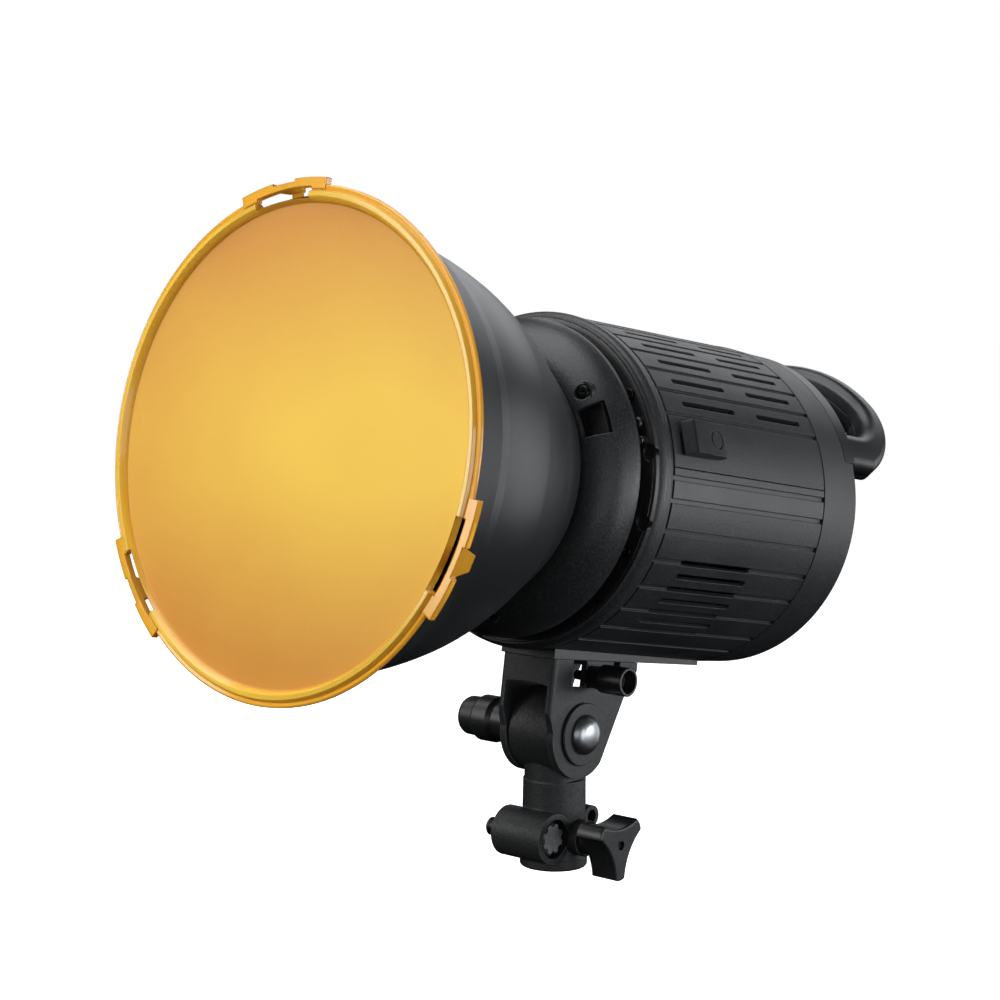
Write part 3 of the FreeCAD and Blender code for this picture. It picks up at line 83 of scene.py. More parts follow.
class Shader:
    """Lays out the nodes of one material."""

    def __init__(self, name: str) -> None:
        """Starts an empty node tree with its output and principled shader.

        Args:
            name: the material's name.
        """
        self.material = bpy.data.materials.new(name)
        self.material.use_nodes = True
        self.tree = self.material.node_tree
        self.tree.nodes.clear()
        self.output = self.node("ShaderNodeOutputMaterial")
        self.surface = self.node("ShaderNodeBsdfPrincipled")
        self.link(self.surface.outputs["BSDF"], self.output.inputs["Surface"])
        self.place = self.node("ShaderNodeTexCoord").outputs["Object"]

    def node(self, kind: str, **settings: object) -> bpy.types.Node:
        """Adds a node and sets its properties.

        Args:
            kind: the node's type name.
            settings: its properties by name.

        Returns:
            The new node.
        """
        item = self.tree.nodes.new(kind)
        for key, value in settings.items():
            setattr(item, key, value)
        return item

    def link(self, source: Socket, target: Socket) -> None:
        """Joins an output to an input."""
        self.tree.links.new(source, target)

    def feed(self, socket: Socket, value: object) -> None:
        """Gives an input its value.

        Args:
            socket: the input.
            value: a number, a vector, a colour or another node's output.
        """
        if isinstance(value, Socket):
            self.link(value, socket)
        else:
            socket.default_value = value

    def math(self, kind: str, first: object, second: object = 0.0,
             clamp: bool = False) -> Socket:
        """Adds a math node.

        Args:
            kind: the operation.
            first: its first value or socket.
            second: its second value or socket.
            clamp: whether the result stays between 0 and 1.

        Returns:
            The result's socket.
        """
        item = self.node("ShaderNodeMath", operation=kind, use_clamp=clamp)
        self.feed(item.inputs[0], first)
        self.feed(item.inputs[1], second)
        return item.outputs[0]

    def vector(self, kind: str, first: object, second: object = None) -> Socket:
        """Adds a vector math node.

        Args:
            kind: the operation.
            first: its first vector or socket.
            second: its second vector or socket, where it takes one.

        Returns:
            The result's socket, which is a number for a length or a dot product.
        """
        item = self.node("ShaderNodeVectorMath", operation=kind)
        self.feed(item.inputs[0], first)
        if second is not None:
            self.feed(item.inputs[1], second)
        return item.outputs["Value" if kind in ("LENGTH", "DOT_PRODUCT") else "Vector"]

    def noise(self, scale: float, detail: float = 3.0, rough: float = 0.5,
              place: Socket | None = None) -> Socket:
        """Adds a noise texture on the piece's own coordinates.

        Args:
            scale: features in a metre.
            detail: octaves.
            rough: how strong the small octaves are.
            place: coordinates, or None for the piece's own.

        Returns:
            The noise value's socket.
        """
        item = self.node("ShaderNodeTexNoise")
        item.inputs["Scale"].default_value = scale
        item.inputs["Detail"].default_value = detail
        item.inputs["Roughness"].default_value = rough
        self.link(place or self.place, item.inputs["Vector"])
        return item.outputs["Fac"]

    def cells(self, scale: float) -> Socket:
        """Adds a fine cell pattern, as in a moulded grain.

        Args:
            scale: cells in a metre.

        Returns:
            The socket of the distance from a cell's middle.
        """
        item = self.node("ShaderNodeTexVoronoi", feature="SMOOTH_F1")
        item.inputs["Scale"].default_value = scale
        self.link(self.place, item.inputs["Vector"])
        return item.outputs["Distance"]

    def spread(self, value: object, low: float, high: float, to_low: float,
               to_high: float) -> Socket:
        """Maps a value from one range to another, clamped.

        Args:
            value: the value or socket.
            low: where the first range starts.
            high: where it ends.
            to_low: where the second range starts.
            to_high: where it ends.

        Returns:
            The result's socket.
        """
        item = self.node("ShaderNodeMapRange")
        self.feed(item.inputs["Value"], value)
        ends = {"From Min": low, "From Max": high, "To Min": to_low, "To Max": to_high}
        for name, number in ends.items():
            item.inputs[name].default_value = number
        return item.outputs["Result"]

    def mix(self, share: object, first: object, second: object) -> Socket:
        """Mixes two colours.

        Args:
            share: 0 for the first, 1 for the second.
            first: a colour or socket.
            second: a colour or socket.

        Returns:
            The mixed colour's socket.
        """
        item = self.node("ShaderNodeMix", data_type="RGBA")
        self.feed(item.inputs["Factor"], share)
        self.feed(item.inputs["A"], first)
        self.feed(item.inputs["B"], second)
        return item.outputs["Result"]

    def length_from(self, centre: Vector, stretch: Triple) -> Socket:
        """Measures how far the surface is from a place, with a stretch of each direction.

        Args:
            centre: the place in the row frame, in metres.
            stretch: factors along X, Y and Z.

        Returns:
            The distance's socket.
        """
        offset = self.vector("SUBTRACT", self.place, centre)
        return self.vector("LENGTH", self.vector("MULTIPLY", offset, stretch))

    def from_axis(self) -> Socket:
        """Measures how far the surface is from the lamp's axis, in metres."""
        offset = self.vector("SUBTRACT", self.place, LAMP_START)
        return self.vector("LENGTH", self.vector("CROSS_PRODUCT", offset, LAMP_AXIS))

    def outward(self) -> Socket:
        """Tells how far a face turns away from the lamp's axis.

        Returns:
            A socket near 1 on outer faces and near -1 on inner ones.
        """
        offset = self.vector("SUBTRACT", self.place, LAMP_START)
        along = self.vector("PROJECT", offset, LAMP_AXIS)
        unit = self.vector("NORMALIZE", self.vector("SUBTRACT", offset, along))
        geometry = self.node("ShaderNodeNewGeometry")
        return self.vector("DOT_PRODUCT", unit, geometry.outputs["Normal"])

    def rounding(self, radius: float) -> Socket:
        """Adds a bevel shader that softens the look of edges.

        Args:
            radius: the softening's radius in metres.

        Returns:
            The rounded normal's socket.
        """
        item = self.node("ShaderNodeBevel", samples=6)
        item.inputs["Radius"].default_value = radius
        return item.outputs["Normal"]

    def edges(self, radius: float) -> Socket:
        """Marks edges by how far the rounded normal leaves the true one.

        Args:
            radius: how far from an edge the mark reaches, in metres.

        Returns:
            A socket near 1 on edges and 0 on faces.
        """
        geometry = self.node("ShaderNodeNewGeometry")
        likeness = self.vector("DOT_PRODUCT", self.rounding(radius), geometry.outputs["Normal"])
        return self.spread(likeness, 0.72, 0.99, 1.0, 0.0)

    def bump(self, height: Socket, depth: float, normal: Socket | None = None) -> Socket:
        """Adds a bump of a real depth.

        Args:
            height: the height pattern, 0 to 1.
            depth: its depth in metres.
            normal: the normal below it, or None.

        Returns:
            The bumped normal's socket.
        """
        item = self.node("ShaderNodeBump")
        item.inputs["Strength"].default_value = 1.0
        item.inputs["Distance"].default_value = depth
        self.link(height, item.inputs["Height"])
        if normal is not None:
            self.link(normal, item.inputs["Normal"])
        return item.outputs["Normal"]

    def set(self, **values: object) -> None:
        """Sets inputs of the principled shader, with underscores for spaces in their names."""
        for key, value in values.items():
            self.feed(self.surface.inputs[key.replace("_", " ")], value)


def shade(level: float, tint: float = 0.0) -> Colour:
    """Gives a neutral colour with a slight cool tint.

    Args:
        level: the linear brightness.
        tint: how far blue rises over red.

    Returns:
        The colour with full alpha.
    """
    return (level * (1 - tint), level, level * (1 + tint), 1.0)


def tinted(colour: Colour, factor: float, lift: float = 0.0) -> Colour:
    """Scales a colour and lifts it.

    Args:
        colour: the colour.
        factor: what each channel is multiplied by.
        lift: what is then added to each.

    Returns:
        The new colour, at most white, with full alpha.
    """
    red, green, blue = (min(1.0, channel * factor + lift) for channel in colour[:3])
    return (red, green, blue, 1.0)


@dataclass(frozen=True)
class Plastic:
    """A moulded plastic with a fine sandy grain, soft edges and slight rub marks."""

    name: str
    colour: Colour
    roughness: float = 0.5
    grain: float = 1400.0
    grain_depth: float = 0.00008
    edge: float = 0.0005
    wear: float = 0.25

    def material(self) -> bpy.types.Material:
        """Builds the material.

        Returns:
            The material, with its node tree.
        """
        s = Shader(self.name)
        patch = s.noise(38.0, 4.0, 0.6)
        speck = s.noise(self.grain, 2.0, 0.6)
        lighter = tinted(self.colour, 2.0, 0.02)
        darker = tinted(self.colour, 0.72)
        base = s.mix(s.spread(patch, 0.3, 0.7, 0.0, 1.0), darker, self.colour)
        base = s.mix(s.spread(speck, 0.5, 0.72, 0.0, 0.6), base, lighter)
        rub = s.math("MULTIPLY", s.edges(self.edge * 1.6),
                     s.spread(s.noise(240.0, 5.0), 0.35, 0.7, 0.2, 1.0))
        worn = tinted(self.colour, 2.4, 0.02)
        base = s.mix(s.math("MULTIPLY", rub, self.wear), base, worn)
        broad = s.spread(patch, 0.25, 0.75, self.roughness - 0.05, self.roughness + 0.05)
        rough = s.math("ADD", broad, s.spread(speck, 0.3, 0.7, -0.03, 0.05), clamp=True)
        height = s.math("ADD", s.math("MULTIPLY", speck, 0.7),
                        s.math("MULTIPLY", s.cells(self.grain * 0.6), 0.5))
        s.set(Base_Color=base, Roughness=rough, IOR=1.5,
              Normal=s.bump(height, self.grain_depth, s.rounding(self.edge)))
        return s.material


@dataclass(frozen=True)
class PowderCoat:
    """Powder-coated metal: rounded pimples, an even sheen and thin wear on edges."""

    name: str
    colour: Colour
    roughness: float = 0.45
    grain: float = 1500.0
    grain_depth: float = 0.00006
    edge: float = 0.0006
    wear: float = 0.35

    def material(self) -> bpy.types.Material:
        """Builds the material.

        Returns:
            The material, with its node tree.
        """
        s = Shader(self.name)
        pimples = s.cells(self.grain)
        patch = s.noise(55.0, 4.0, 0.6)
        lighter = tinted(self.colour, 1.9, 0.006)
        base = s.mix(s.spread(pimples, 0.1, 0.75, 0.5, 0.0), self.colour, lighter)
        rub = s.math("MULTIPLY", s.edges(self.edge * 1.5),
                     s.spread(s.noise(300.0, 5.0), 0.3, 0.7, 0.2, 1.0))
        base = s.mix(s.math("MULTIPLY", rub, self.wear), base, shade(0.32))
        broad = s.spread(patch, 0.3, 0.7, self.roughness - 0.05, self.roughness + 0.05)
        rough = s.math("ADD", broad, s.spread(pimples, 0.1, 0.7, -0.06, 0.06), clamp=True)
        height = s.math("SUBTRACT", 1.0, pimples)
        s.set(Base_Color=base, Roughness=rough, IOR=1.38,
              Normal=s.bump(height, self.grain_depth, s.rounding(self.edge)))
        return s.material


@dataclass(frozen=True)
class SpunLacquer:
    """Satin black lacquer over spun metal, bare silver inside, with faint rings round the axis."""

    name: str
    colour: Colour
    lining: Colour = (0.8, 0.8, 0.8, 1.0)
    roughness: float = 0.36
    ring_scale: float = 900.0

    def material(self) -> bpy.types.Material:
        """Builds the material.

        Returns:
            The material, with its node tree.
        """
        s = Shader(self.name)
        depth = s.vector("DOT_PRODUCT", s.place, LAMP_AXIS)
        wave = s.math("SINE", s.math("MULTIPLY", depth, self.ring_scale * 2 * math.pi))
        speck = s.noise(2400.0, 2.0, 0.6)
        patch = s.noise(22.0, 4.0, 0.55)
        lighter = tinted(self.colour, 1.6, 0.01)
        base = s.mix(s.spread(speck, 0.5, 0.8, 0.0, 0.5), self.colour, lighter)
        broad = s.spread(patch, 0.3, 0.7, self.roughness - 0.04, self.roughness + 0.05)
        rough = s.math("ADD", broad, s.math("MULTIPLY", wave, 0.012), clamp=True)
        height = s.math("ADD", s.math("MULTIPLY", wave, 0.12), speck)
        inside = s.spread(s.outward(), -0.3, -0.2, 1.0, 0.0)
        s.set(Base_Color=s.mix(inside, base, self.lining), Metallic=inside,
              Roughness=s.math("ADD", rough, s.math("MULTIPLY", inside, -0.1)), IOR=1.5,
              Normal=s.bump(height, 0.00002, s.rounding(0.0004)))
        return s.material


@dataclass(frozen=True)
class Metal:
    """Bare or plated metal with fine scratches, and brighter edges."""

    name: str
    colour: Colour
    roughness: float = 0.3
    scratch: float = 0.12
    edge: float = 0.0003

    def material(self) -> bpy.types.Material:
        """Builds the material.

        Returns:
            The material, with its node tree.
        """
        s = Shader(self.name)
        patch = s.noise(70.0, 4.0, 0.6)
        stretch = s.node("ShaderNodeMapping")
        stretch.inputs["Scale"].default_value = (1.0, 14.0, 14.0)
        s.link(s.place, stretch.inputs["Vector"])
        line = s.noise(300.0, 6.0, 0.7, stretch.outputs["Vector"])
        darker = tinted(self.colour, 0.7)
        base = s.mix(s.spread(patch, 0.3, 0.75, 0.0, 1.0), darker, self.colour)
        base = s.mix(s.math("MULTIPLY", s.edges(self.edge * 1.5), 0.4), base,
                     tinted(self.colour, 1.5, 0.05))
        rough = s.spread(line, 0.3, 0.7, self.roughness - self.scratch * 0.5,
                         self.roughness + self.scratch)
        s.set(Base_Color=base, Metallic=1.0, Roughness=rough,
              Normal=s.bump(line, 0.000006, s.rounding(self.edge)))
        return s.material


@dataclass(frozen=True)
class Rubber:
    """Soft-touch rubber, nearly matt, with a patchy dusty bloom."""

    name: str
    colour: Colour

    def material(self) -> bpy.types.Material:
        """Builds the material.

        Returns:
            The material, with its node tree.
        """
        s = Shader(self.name)
        dust = s.noise(120.0, 5.0, 0.7)
        bloom = tinted(self.colour, 2.2, 0.02)
        base = s.mix(s.spread(dust, 0.45, 0.75, 0.0, 0.5), self.colour, bloom)
        s.set(Base_Color=base, Roughness=s.spread(dust, 0.3, 0.7, 0.62, 0.8), Sheen_Weight=0.15,
              Normal=s.bump(s.noise(1800.0), 0.00003, s.rounding(0.0004)))
        return s.material


@dataclass(frozen=True)
class ClearPlastic:
    """Clear or tinted glossy moulding that light passes through."""

    name: str
    colour: Colour
    roughness: float = 0.08
    through: float = 0.8
    ior: float = 1.49

    def material(self) -> bpy.types.Material:
        """Builds the material.

        Returns:
            The material, with its node tree.
        """
        s = Shader(self.name)
        flow = s.noise(60.0, 3.0, 0.5)
        deeper = tinted(self.colour, 0.82)
        s.set(Base_Color=s.mix(s.spread(flow, 0.3, 0.7, 0.0, 1.0), self.colour, deeper),
              Roughness=s.spread(flow, 0.3, 0.7, self.roughness, self.roughness + 0.05),
              Transmission_Weight=self.through, IOR=self.ior,
              Normal=s.bump(flow, 0.00005, s.rounding(0.0003)))
        return s.material


@dataclass(frozen=True)
class Laminate:
    """Circuit board laminate with faint copper tracks under its mask."""

    name: str
    colour: Colour

    def material(self) -> bpy.types.Material:
        """Builds the material.

        Returns:
            The material, with its node tree.
        """
        s = Shader(self.name)
        track = s.node("ShaderNodeTexBrick")
        track.inputs["Scale"].default_value = 180.0
        s.link(s.place, track.inputs["Vector"])
        lighter = tinted(self.colour, 1.7, 0.01)
        s.set(Base_Color=s.mix(s.math("MULTIPLY", track.outputs["Fac"], 0.6), self.colour, lighter),
              Roughness=s.spread(s.noise(90.0), 0.3, 0.7, 0.3, 0.45),
              Normal=s.bump(track.outputs["Fac"], 0.00003, s.rounding(0.0002)))
        return s.material


@dataclass(frozen=True)
class FrostedAmber:
    """Amber moulding: a frosted face with a painted pool of light right of centre, and a glossy rim
    and clips with a painted highlight on the bead's crest and painted shade along their edges.
    """

    name: str
    face_radius: float = 0.0863
    highlight_crest: tuple[float, float] = (0.0878, 0.0896)
    light_pool_spot: Triple = (44.0, 2.0, 3.0)
    light_pool_stretch: Triple = (0.55, 1.0, 1.3)
    lit_amber: Colour = (0.72, 0.44, 0.035, 1.0)
    shaded_amber: Colour = (0.50, 0.20, 0.010, 1.0)
    frost: Colour = (0.88, 0.68, 0.22, 1.0)
    rim: Colour = (0.80, 0.43, 0.04, 1.0)
    rim_crest_highlight: Colour = (0.86, 0.56, 0.07, 1.0)
    rim_edge_shade: Colour = (0.58, 0.19, 0.008, 1.0)

    def material(self) -> bpy.types.Material:
        """Builds the material.

        Returns:
            The material, with its node tree.
        """
        s = Shader(self.name)
        # Painted light: the face is painted brightest round a spot right of centre, and painted
        # darker, as painted shade, away from it, most of all above and below.
        glow = s.length_from(LAMP @ Vector(self.light_pool_spot), self.light_pool_stretch)
        cloud = s.noise(26.0, 3.0, 0.5)
        far = s.math("ADD", s.spread(glow, 0.02, 0.105, 0.0, 1.0),
                     s.spread(cloud, 0.3, 0.7, -0.05, 0.05), clamp=True)
        speck = s.spread(s.noise(2600.0, 2.0, 0.6), 0.55, 0.75, 0.0, 0.12)
        face = s.mix(speck, s.mix(far, self.lit_amber, self.shaded_amber), self.frost)
        reach = s.from_axis()
        # Painted highlight: the bead's crest is painted a brighter yellow.
        highlight_crest = s.math("MULTIPLY", s.spread(reach, self.highlight_crest[0] - 0.001, self.highlight_crest[0], 0.0, 1.0),
                       s.spread(reach, self.highlight_crest[1], self.highlight_crest[1] + 0.0006, 1.0, 0.0))
        rim = s.mix(highlight_crest, self.rim, self.rim_crest_highlight)
        # Painted shade: the rim's edges and grooves are painted darker.
        rim = s.mix(s.math("MULTIPLY", s.edges(0.0007), 0.8), rim, self.rim_edge_shade)
        on_rim = s.spread(reach, self.face_radius - 0.0004, self.face_radius + 0.0004, 0.0, 1.0)
        grain = s.math("MULTIPLY", s.noise(3000.0, 2.0), s.math("SUBTRACT", 1.0, on_rim))
        s.set(Base_Color=s.mix(on_rim, face, rim), Roughness=s.spread(on_rim, 0.0, 1.0, 0.55, 0.12),
              Transmission_Weight=s.math("MULTIPLY", on_rim, 0.35), IOR=1.45,
              Normal=s.bump(grain, 0.00002, s.rounding(0.0006)))
        return s.material


@dataclass(frozen=True)
class Print:
    """Screen-printed ink, slightly uneven, or lit segments where it glows."""

    name: str
    colour: Colour
    glow: float = 0.0

    def material(self) -> bpy.types.Material:
        """Builds the material.

        Returns:
            The material, with its node tree.
        """
        s = Shader(self.name)
        patch = s.noise(900.0, 4.0, 0.6)
        thin = tinted(self.colour, 0.72)
        s.set(Base_Color=s.mix(s.spread(patch, 0.35, 0.7, 0.0, 1.0), self.colour, thin),
              Roughness=s.spread(patch, 0.3, 0.7, 0.45, 0.6), Emission_Color=self.colour,
              Emission_Strength=self.glow, Normal=s.bump(patch, 0.000004))
        return s.material


class Finish(Enum):
    """Every finish on the light."""

    BODY = Plastic("body_plastic", shade(0.017, 0.06), 0.45)
    PANEL = Plastic("panel_plastic", shade(0.014, 0.04), 0.55)
    COLLAR = Plastic("collar_plastic", shade(0.016, 0.05), 0.42)
    KNOB = Plastic("knob_plastic", shade(0.009, 0.06), 0.36, grain=1700.0,
                   grain_depth=0.00002)
    KEY = Plastic("key_plastic", shade(0.11, 0.02), 0.5)
    NUT = Plastic("nut_plastic", shade(0.17, 0.01), 0.5, wear=0.1)
    FAN = Plastic("fan_plastic", shade(0.02), 0.55)
    MODULE = Plastic("module_plastic", shade(0.08), 0.6)
    ROCKER = Plastic("rocker_plastic", shade(0.012), 0.25, grain_depth=0.000005)
    SHEET = PowderCoat("sheet_coat", shade(0.018, 0.06), 0.46)
    CASTING = PowderCoat("casting_coat", shade(0.014, 0.05), 0.5, grain=1100.0,
                         grain_depth=0.00009)
    BOWL = SpunLacquer("bowl_lacquer", shade(0.016, 0.05))
    STEEL = Metal("turned_steel", shade(0.32), 0.32)
    RING_STEEL = Metal("ring_steel", shade(0.10), 0.44)
    ZINC = Metal("zinc_plate", shade(0.5), 0.35)
    BLACK_STEEL = Metal("blackened_steel", shade(0.035), 0.36)
    DARK_BOLT = Metal("dark_bolt", shade(0.38, 0.03), 0.34, 0.06)
    SINK = Metal("sink_aluminium", shade(0.6), 0.4)
    BRASS = Metal("pin_brass", (0.72, 0.52, 0.24, 1.0), 0.3)
    DIAL = Rubber("dial_rubber", shade(0.02))
    WINDOW = ClearPlastic("window_smoke", (0.05, 0.055, 0.06, 1.0), 0.04, 0.5)
    GLASS = ClearPlastic("cover_glass", (0.95, 0.97, 0.97, 1.0), 0.02, 1.0)
    AMBER = FrostedAmber("amber_frost")
    BOARD = Laminate("board_laminate", (0.02, 0.1, 0.04, 1.0))
    EMITTER = Plastic("emitter_phosphor", (0.85, 0.62, 0.05, 1.0), 0.4, wear=0.0)
    PRINT = Print("panel_print", (0.75, 0.76, 0.78, 1.0))
    DIGITS = Print("display_digits", (0.35, 0.75, 1.0, 1.0), 1.6)

    def material(self) -> bpy.types.Material:
        """Gives the finish's material, built at its first use."""
        found = bpy.data.materials.get(self.value.name)
        return found or self.value.material()


def dress(piece: bpy.types.Object, finish: Finish) -> None:
    """Puts one finish all over a piece.

    Args:
        piece: the object.
        finish: the finish.
    """
    piece.data.materials.clear()
    piece.data.materials.append(finish.material())


def dress_nodes(finishes: dict[str, Finish]) -> None:
    """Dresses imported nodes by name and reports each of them.

    Args:
        finishes: node name to finish.
    """
    for name, finish in finishes.items():
        dress(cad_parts[name], finish)
        LOG.info("dressed %s in %s", name, finish.value.name)


def turn_to(radius: float, degrees: float) -> Spot:
    """Gives the place on a circle round the lamp's axis.

    Args:
        radius: the circle's radius in millimetres.
        degrees: the angle up from +X.

    Returns:
        The place as (x, height above the axis).
    """
    angle = math.radians(degrees)
    return radius * math.cos(angle), radius * math.sin(angle)


def start_piece() -> None:
    """Leaves edit mode and deselects everything, so that operators act on the next piece alone."""
    if bpy.context.object and bpy.context.object.mode != "OBJECT":
        bpy.ops.object.mode_set(mode="OBJECT")
    bpy.ops.object.select_all(action="DESELECT")


def pick_faces(piece: bpy.types.Object, choose: Callable[[bpy.types.MeshPolygon], bool]) -> None:
    """Selects the faces that a choice accepts, and enters edit mode.

    Args:
        piece: the active object.
        choose: tells whether a face is wanted.
    """
    if piece.mode != "OBJECT":
        bpy.ops.object.mode_set(mode="OBJECT")
    bpy.ops.object.mode_set(mode="EDIT")
    bpy.ops.mesh.select_mode(type="FACE")
    bpy.ops.mesh.select_all(action="DESELECT")
    bpy.ops.object.mode_set(mode="OBJECT")
    for face in piece.data.polygons:
        face.select = choose(face)
    bpy.ops.object.mode_set(mode="EDIT")


def join_pieces(pieces: list[bpy.types.Object], name: str) -> bpy.types.Object:
    """Joins finished pieces into one object.

    Args:
        pieces: the objects, each with its own mesh.
        name: the joined object's name.

    Returns:
        The joined object.
    """
    start_piece()
    for piece in pieces:
        piece.select_set(True)
    bpy.context.view_layer.objects.active = pieces[0]
    bpy.ops.object.join()
    joined = bpy.context.object
    joined.name = name
    joined.data.name = name
    return joined


def settle(piece: bpy.types.Object, place: Matrix) -> None:
    """Puts a piece where a matrix says, with its place in its mesh.

    Args:
        piece: the object, modelled at the origin in millimetres.
        place: from its own millimetres to the row frame.
    """
    start_piece()
    piece.select_set(True)
    bpy.context.view_layer.objects.active = piece
    piece.matrix_world = place
    bpy.ops.object.transform_apply(location=True, rotation=True, scale=True)


@dataclass
class ScrewSet:
    """Identical cross-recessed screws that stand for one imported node.

    A place is the seat under the head in lamp millimetres, and the direction that the head faces.
    The crown is a share of the head's height, the point's sizes are shares of the shank's radius,
    and the recess bar's are shares of the head's radius and height.
    """

    node: str
    body: Body
    places: list[tuple[Vector, Vector]]
    head_radius: float
    head_high: float
    shank_radius: float
    shank_long: float
    slot: str = "screw_black"
    finish: Finish = Finish.BLACK_STEEL
    sides: int = 28
    crown: float = 0.45
    point_inset: float = 0.45
    point_long: float = 0.5
    bar: Triple = (1.15, 0.24, 1.3)
    bar_taper: float = 0.6

    def build(self) -> None:
        """Models one screw, copies it to every place and replaces the node."""
        first = self.model_screw()
        copies = []
        for seat, facing in self.places:
            piece = first.copy()
            piece.data = first.data.copy()
            bpy.context.scene.collection.objects.link(piece)
            turn = facing.to_track_quat("Z", "Y").to_matrix().to_4x4()
            settle(piece, LAMP @ Matrix.Translation(seat) @ turn)
            copies.append(piece)
        bpy.data.objects.remove(first)
        screws = join_pieces(copies, self.node + "_dressed")
        dress(screws, self.finish)
        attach(screws, self.body.value)
        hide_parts(self.node)
        LOG.info("modelled %s: %d screws", self.node, len(copies))

    def model_screw(self) -> bpy.types.Object:
        """Models one screw on +Z with its seat at the origin.

        Returns:
            The screw's object.
        """
        start_piece()
        bpy.ops.mesh.primitive_cylinder_add(vertices=self.sides, radius=self.head_radius,
                                            depth=self.head_high,
                                            location=(0, 0, self.head_high / 2))
        piece = bpy.context.object
        bpy.ops.object.transform_apply(location=True, rotation=False, scale=False)
        pick_faces(piece, lambda face: face.normal.z > 0.9)
        bpy.ops.mesh.bevel(offset=self.head_high * self.crown, segments=4, affect="EDGES")
        pick_faces(piece, lambda face: face.normal.z < -0.9)
        bpy.ops.mesh.inset(thickness=self.head_radius - self.shank_radius)
        down = {"value": (0, 0, -self.shank_long)}
        bpy.ops.mesh.extrude_region_move(TRANSFORM_OT_translate=down)
        bpy.ops.mesh.inset(thickness=self.shank_radius * self.point_inset)
        bpy.ops.transform.translate(value=(0, 0, -self.shank_radius * self.point_long))
        bpy.ops.object.mode_set(mode="OBJECT")
        for quarter in (0.0, math.pi / 2):
            self.cut_bar(piece, quarter)
        start_piece()
        piece.select_set(True)
        bpy.context.view_layer.objects.active = piece
        bpy.ops.object.shade_smooth_by_angle(angle=math.radians(35))
        return piece

    def cut_bar(self, piece: bpy.types.Object, angle: float) -> None:
        """Cuts one bar of the cross recess, with tapered ends.

        Args:
            piece: the screw.
            angle: the bar's turn about the screw's axis, in radians.
        """
        start_piece()
        bpy.ops.mesh.primitive_cube_add(size=1.0, location=(0, 0, self.head_high),
                                        rotation=(0, 0, angle))
        bar = bpy.context.object
        long, wide, shaded_amber = self.bar
        bar.scale = (self.head_radius * long, self.head_radius * wide, self.head_high * shaded_amber)
        bpy.ops.object.transform_apply(location=True, rotation=True, scale=True)
        pick_faces(bar, lambda face: face.normal.z < -0.9)
        taper = (self.bar_taper, self.bar_taper, 1.0)
        bpy.ops.transform.resize(value=taper, center_override=(0, 0, 0))
        bpy.ops.object.mode_set(mode="OBJECT")
        start_piece()
        piece.select_set(True)
        bpy.context.view_layer.objects.active = piece
        cutter = piece.modifiers.new("recess", "BOOLEAN")
        cutter.operation = "DIFFERENCE"
        cutter.solver = "EXACT"
        cutter.object = bar
        bpy.ops.object.modifier_apply(modifier="recess")
        bpy.data.objects.remove(bar)


def ring_places(turns: tuple[float, ...], reach: float, depth: float,
                facing: int) -> list[tuple[Vector, Vector]]:
    """Gives screw places on a circle round the lamp's axis.

    Args:
        turns: angles up from +X, in degrees.
        reach: the circle's radius.
        depth: the seat's place along the lamp.
        facing: -1 where the heads face forwards and 1 where they face back.

    Returns:
        The seats and the directions that the heads face.
    """
    places = []
    for turn in turns:
        x, up = turn_to(reach, turn)
        places.append((Vector((x, depth, up)), Vector((0, facing, 0))))
    return places


@dataclass
class Reflector:
    """The bowl, its collar and bayonet ring, and the filter over its mouth."""

    screw_turns: tuple[float, ...] = (38.5, 158.5, 278.5)
    screw_circle: float = 53.8
    screw_seat: float = 112.65

    def build(self) -> None:
        """Dresses the reflector's nodes."""
        dress_nodes({
            "diffusion_filter": Finish.AMBER,
            "reflector_bowl": Finish.BOWL,
            "reflector_collar": Finish.COLLAR,
            "bayonet_ring": Finish.STEEL,
        })
        ScrewSet("collar_screws", Body.REFLECTOR,
                 ring_places(self.screw_turns, self.screw_circle, self.screw_seat, -1),
                 head_radius=2.7, head_high=1.4, shank_radius=1.45, shank_long=6.0).build()


@dataclass
class LampBody:
    """Covers, cap, bezel, mount ring, latch and handle."""

    ring_turns: tuple[float, ...] = (36.0, 96.0, 156.0, 216.0, 276.0, 336.0)
    ring_circle: float = 60.1
    ring_seat: float = 132.6
    handle_spots: tuple[Spot, ...] = ((25.6, 280.0), (60.0, 311.0), (120.0, 311.0), (154.4, 280.0))
    handle_seat: float = 54.2

    def build(self) -> None:
        """Dresses the body's nodes."""
        dress_nodes({
            "front_bezel": Finish.BODY, "mount_ring": Finish.RING_STEEL, "upper_cover": Finish.BODY,
            "lower_cover": Finish.BODY, "rear_cap": Finish.BODY, "release_latch": Finish.KNOB,
            "lock_pin": Finish.ZINC, "latch_spring": Finish.ZINC, "spring_bracket": Finish.ZINC,
            "handle_outer_shell": Finish.KNOB, "handle_inner_shell": Finish.KNOB,
            "base_rail": Finish.BODY,
        })
        ScrewSet("mount_ring_screws", Body.HEAD,
                 ring_places(self.ring_turns, self.ring_circle, self.ring_seat, -1),
                 head_radius=2.3, head_high=1.3, shank_radius=0.9, shank_long=4.6).build()
        ScrewSet("handle_screws", Body.HEAD, self.handle_places(),
                 head_radius=2.2, head_high=1.6, shank_radius=1.1, shank_long=9.0).build()

    def handle_places(self) -> list[tuple[Vector, Vector]]:
        """Gives the handle's screw places, whose heads face the lamp's axis.

        Returns:
            The seats and the directions that the heads face.
        """
        places = []
        for turn, depth in self.handle_spots:
            x, up = turn_to(self.handle_seat, turn)
            places.append((Vector((x, depth, up)), Vector((-x, 0, -up)).normalized()))
        return places


@dataclass(frozen=True)
class Word:
    """A printed or lit word: its letters, its middle on the panel and its letter size."""

    letters: str
    middle: Spot
    size: float


